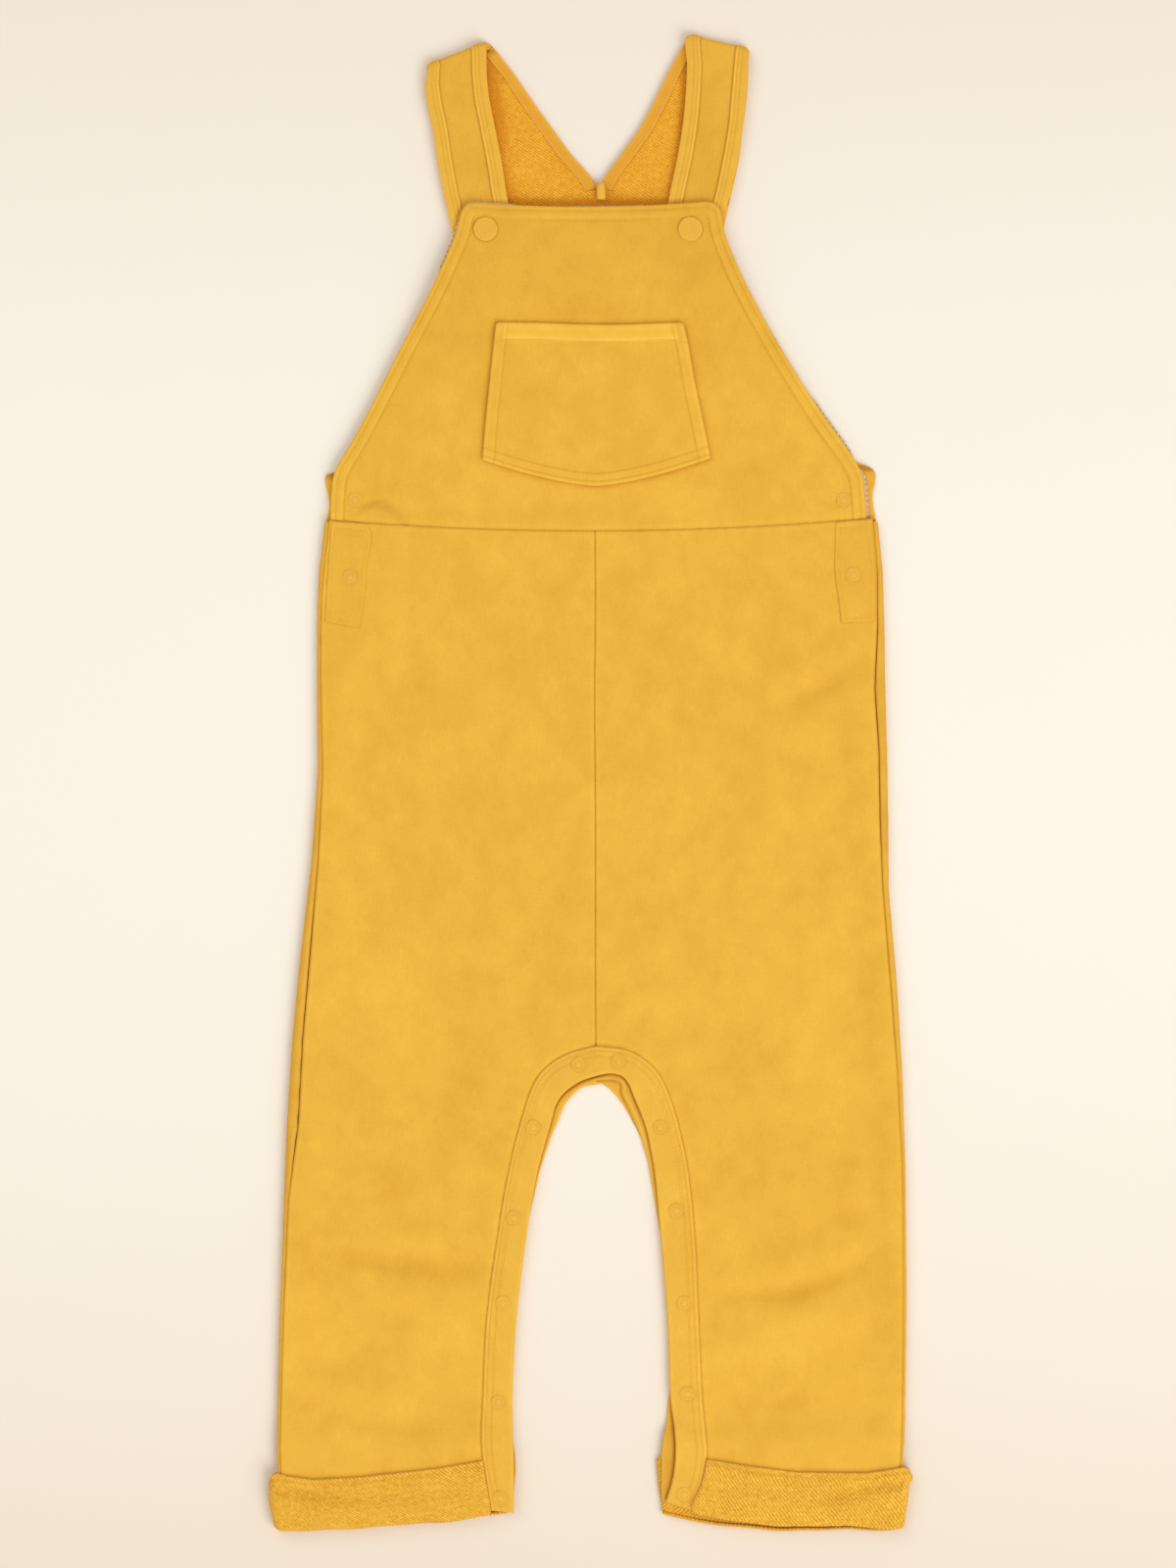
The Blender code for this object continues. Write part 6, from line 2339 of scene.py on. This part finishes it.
@dataclass
class Snap:
    """One turned snap, pressed into the cloth where the frame has it."""

    spot: SnapSpot
    kind: SnapKind
    seat: float
    steps: int = 36

    def profile(self) -> list[tuple[float, float]]:
        """Return the turned outline, as shares of the radius and heights.

        Returns:
            A share of the radius and a height for each point.
        """
        if self.kind is SnapKind.CAP:
            return [
                (0.0, -0.5), (0.98, -0.5), (1.0, -0.1), (1.0, 0.1), (0.985, 0.2), (0.93, 0.24),
                (0.925, 0.5), (0.915, 0.72), (0.895, 0.88), (0.86, 0.96), (0.78, 1.02), (0.6, 1.06),
                (0.3, 1.08), (0.0, 1.09),
            ]
        return [
            (0.0, -0.5), (0.95, -0.5), (0.96, -0.1), (0.98, 0.0), (0.98, 0.06), (0.955, 0.13),
            (0.915, 0.15), (0.88, 0.11), (0.86, 0.05), (0.83, 0.02), (0.74, 0.02), (0.69, 0.03),
            (0.66, 0.07), (0.635, 0.12), (0.6, 0.14), (0.565, 0.12), (0.54, 0.06), (0.51, 0.0),
            (0.47, -0.03), (0.42, 0.05), (0.25, 0.1), (0.0, 0.11),
        ]

    def tint(self, reach: Array) -> Array:
        """Return the coat's painted tone at shares of the radius: painted highlights on its rims, painted
        shade beside them.

        Args:
            reach: The shares of the radius.

        Returns:
            How worn each point is.
        """
        if self.kind is SnapKind.CAP:
            # A dark painted shadow ring at the cap's edge, and a painted highlight just inside it
            return 0.02 - 2.0 * bell(reach - 0.985, 0.05) + 0.22 * bell(reach - 0.88, 0.05)
        # Painted highlights on the ring's rims, and painted shade beside them and at its edge
        pale = 0.3 * bell(reach - 0.92, 0.04) + 0.28 * bell(reach - 0.6, 0.04) + 0.14 * bell(reach, 0.36)
        deep = 0.28 * bell(reach - 0.8, 0.06) + 0.4 * bell(reach - 0.49, 0.05)
        return pale - deep - 0.5 * bell(reach - 1.0, 0.05)

    def build(self, looks: Wardrobe) -> Object:
        """Build the snap.

        Args:
            looks: The finishes.

        Returns:
            The snap.
        """
        mesh = bmesh.new()
        radius = self.spot.radius
        verts = [mesh.verts.new((share * radius, 0.0, height)) for share, height in self.profile()]
        edges = [mesh.edges.new(pair) for pair in zip(verts, verts[1:])]
        turned = {"cent": (0.0, 0.0, 0.0), "axis": (0.0, 0.0, 1.0), "angle": 2 * math.pi}
        bmesh.ops.spin(mesh, geom=verts + edges, steps=self.steps, use_merge=True, **turned)
        bmesh.ops.remove_doubles(mesh, verts=mesh.verts, dist=0.001)
        bmesh.ops.recalc_face_normals(mesh, faces=mesh.faces)
        place = (self.spot.x - BOX_CENTRE[0], self.spot.y - BOX_CENTRE[1], self.seat)
        reach = np.array([math.hypot(vert.co.x, vert.co.y) for vert in mesh.verts]) / self.spot.radius
        bmesh.ops.translate(mesh, verts=mesh.verts, vec=place)
        bmesh.ops.scale(mesh, verts=mesh.verts, vec=(MM, MM, MM))
        name = f"{self.kind.value}_{self.spot.node.replace('snap_', '').replace('strap_cap_', 'strap_')}"
        data = mesh_data(name, mesh, looks.coat)
        give_wear_and_shade(data, self.tint(reach))
        return settle(link(data), Slot.COAT, self.spot.node)


@dataclass
class Studio:
    """The pale floor, the soft lights and the camera straight overhead."""

    frame_height: float = 0.736
    middle: Pair = (-0.00116, -0.00062)
    lens: float = 150.0
    sensor: float = 36.0
    floor_size: float = 6.0
    sky: Colour = (1.0, 0.975, 0.94)
    sky_strength: float = 0.585
    key_power: float = 82.5
    fill_share: float = 0.42
    light_tint: Colour = (1.0, 0.97, 0.93)
    floor_drop: float = 0.0002

    def build(self) -> None:
        """Build everything round the garment."""
        self.build_floor()
        self.build_sky()
        self.add_light("light_key", (1.8, -2.1, 2.75), 2.8, self.key_power)
        self.add_light("light_fill", (-1.9, 1.9, 3.0), 3.0, self.key_power * self.fill_share)
        self.build_camera()

    def build_floor(self) -> None:
        """Lay the floor just under the garment."""
        mesh = bmesh.new()
        bmesh.ops.create_grid(mesh, x_segments=8, y_segments=8, size=self.floor_size / 2)
        bmesh.ops.translate(mesh, verts=mesh.verts, vec=(0.0, 0.0, -self.floor_drop))
        paper = Paper("pale_paper", (0.835, 0.74, 0.625), (0.94, 0.90, 0.82)).build()
        link(mesh_data("floor", mesh, paper))

    def build_sky(self) -> None:
        """Light everything evenly from all round."""
        world = bpy.data.worlds.new("studio")
        world.use_nodes = True
        sky = world.node_tree.nodes["Background"]
        sky.inputs["Color"].default_value = (*self.sky, 1.0)
        sky.inputs["Strength"].default_value = self.sky_strength
        bpy.context.scene.world = world

    def add_light(self, name: str, place: tuple[float, float, float], size: float, power: float) -> None:
        """Hang a soft box that looks at the garment.

        Args:
            name: Its name.
            place: Where it hangs, in metres.
            size: How wide it is.
            power: Its power, in watts.
        """
        light = bpy.data.lights.new(name, "AREA")
        light.shape = "SQUARE"
        light.size = size
        light.energy = power
        light.color = self.light_tint
        lamp = bpy.data.objects.new(name, light)
        lamp.location = place
        lamp.rotation_euler = (-Vector(place)).to_track_quat("-Z", "Y").to_euler()
        bpy.context.collection.objects.link(lamp)

    def build_camera(self) -> None:
        """Hang the camera over the garment's middle, looking straight down."""
        lens = bpy.data.cameras.new("camera")
        lens.lens = self.lens
        lens.sensor_width = self.sensor
        camera = bpy.data.objects.new("camera", lens)
        camera.location = (*self.middle, self.frame_height * self.lens / self.sensor)
        bpy.context.collection.objects.link(camera)
        bpy.context.scene.camera = camera
        bpy.context.scene.view_settings.view_transform = "Standard"


@dataclass(frozen=True)
class Cut:
    """What one piece of cloth was cut to, in millimetres, how it lies and what is sewn to it."""

    width: float
    length: float
    share: float
    held: str = "laid"
    rests_on: tuple[str, ...] = ()
    carries: tuple[str, ...] = ()

    def declare(self, name: str) -> None:
        """Work out the flat size and area of the piece; nothing is done with them.

        Args:
            name: The piece's name; not used.
        """
        flat = (self.width * MM, self.length * MM)
        area = self.share * flat[0] * flat[1]


CUTS = {
    "back_left": Cut(132, 332, 0.49, "folded", (), ("hem_left_outer", "hem_left_inner", "neck_left")),
    "back_right": Cut(134, 336, 0.47, "folded", (), ("hem_right_outer", "hem_right_inner", "neck_right")),
    "bib": Cut(251, 154, 0.74, "laid", ("back_left", "back_right"), ("bib_lining_edge", "stitches_bib")),
    "pocket": Cut(107, 77, 0.88, "laid", ("bib",), ("stitches_pocket",)),
    "leg_back_left": Cut(156, 466, 0.78, "folded"),
    "leg_back_right": Cut(153, 466, 0.8, "folded"),
    "leg_front_left": Cut(148, 469, 0.78, "laid", ("leg_back_left",)),
    "leg_front_right": Cut(146, 469, 0.8, "laid", ("leg_back_right",)),
    "tab_left": Cut(19.5, 49, 0.96, "laid", ("leg_front_left",)),
    "tab_right": Cut(19, 48, 0.97, "laid", ("leg_front_right",)),
    "band_back": Cut(18.5, 480, 0.82),
    "band_front": Cut(15, 480, 0.985, "laid", ("band_back",), ("stitches_bands",)),
    "turn_up_left": Cut(228, 26.5, 0.975, "folded", ("leg_front_left",)),
    "turn_up_right": Cut(242, 27.5, 0.97, "folded", ("leg_front_right",)),
}


def main() -> None:
    """Build the dungarees' dress from the floor up, and the studio round it."""
    logging.basicConfig(level=logging.INFO, format="%(message)s")
    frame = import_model()
    looks = Wardrobe()
    starts = ("snap_bib", "snap_tab", "snap_inseam", "strap_cap")
    bib_snaps, tab_snaps, inseam_snaps, caps = (snap_spots(frame["nodes"], start) for start in starts)

    places = ("straps", "bib", "pocket", "bands", "tabs")
    threads = [Sewing(f"stitches_{place}", looks.thread) for place in places]
    straps, hems, pocket_thread, band_thread, tab_thread = threads
    neck_thread = Sewing("stitches_neck", looks.pale_thread, 0.7, 0.55, 0.62, -0.05)
    overlock = Sewing("overlock_bib", looks.overlock, 1.1, 1.5, 0.42, 0.0)

    halves = (
        BackHalf(
            Hand.LEFT, BACK_LEFT, FOLD_LEFT, STRAP_LEFT,
            fold_slip=3.4, shaded_hollow=(-119.8, 144.6), strap_shade=2.3, shade_reach=4.8,
        ),
        BackHalf(Hand.RIGHT, BACK_RIGHT, FOLD_RIGHT, STRAP_RIGHT),
    )
    for half in halves:
        left_hem, right_hem, neck = (Surface(piece) for piece in half.build(looks))
        on_hems, on_neck = half.stitch_lines()
        straps.rows(on_hems, left_hem, right_hem)
        neck_thread.rows(on_neck, neck)
    NeckLoop().build(looks)

    bib = Bib()
    on_bib = Surface(bib.build_front(looks, bib_snaps + caps))
    on_facing = Surface(bib.build_facing(looks))
    hems.rows(bib.stitch_lines(), on_bib)
    pocket = Pocket()
    on_pocket = Surface(pocket.build(looks))
    pocket_thread.rows(pocket.stitch_lines(), on_pocket)
    pocket_thread.ribs(pocket.top_line(), on_pocket, pocket.rib_depth, 0.92, 0.24)

    legs = (
        Leg(Hand.LEFT, SIDE_LEFT, CREASES_LEFT, BAND_OUTER_LEFT, FINE_CREASES_LEFT),
        Leg(Hand.RIGHT, SIDE_RIGHT, CREASES_RIGHT, BAND_OUTER_RIGHT, FINE_CREASES_RIGHT),
    )
    for leg in legs:
        leg.build_front(looks)
        leg.build_back(looks)
    for tab, snap in zip((SideTab(Hand.LEFT, TAB_LEFT), SideTab(Hand.RIGHT, TAB_RIGHT)), tab_snaps):
        on_tab = Surface(tab.build(looks, [snap]))
        tab_thread.ribs(tab.top_line(), on_tab, tab.rib_depth, 1.0, 0.1)
    bands = InseamBands((BAND_OUTER_LEFT, BAND_OUTER_RIGHT), (BAND_INNER_LEFT, BAND_INNER_RIGHT))
    on_band = Surface(bands.build_front(looks, inseam_snaps))
    bands.build_back(looks)
    band_thread.rows(bands.stitch_lines(), on_band)
    Cuff(Hand.LEFT, CUFF_LEFT, CUFF_OUTLINE_LEFT, Edge(BAND_OUTER_LEFT), CUFF_SAG_LEFT).build(looks)
    Cuff(Hand.RIGHT, CUFF_RIGHT, CUFF_OUTLINE_RIGHT, Edge(BAND_OUTER_RIGHT), CUFF_SAG_RIGHT).build(looks)

    for spot in bib_snaps + inseam_snaps:
        Snap(spot, SnapKind.RING, spot.bottom - RING_SINKS).build(looks)
    for spot in tab_snaps:
        Snap(spot, SnapKind.RING, tab.face).build(looks)
    for spot in caps:
        Snap(spot, SnapKind.CAP, spot.bottom - CAP_SINKS).build(looks)
    overlock.rows(bib.overlock_lines(), on_facing)
    for sewing in (*threads, neck_thread):
        settle(sewing.finish_off(), Slot.BANDS)
    settle(overlock.finish_off(), Slot.FACING)
    for name, cut in CUTS.items():
        cut.declare(name)

    Studio().build()


if __name__ == "__main__":
    main()
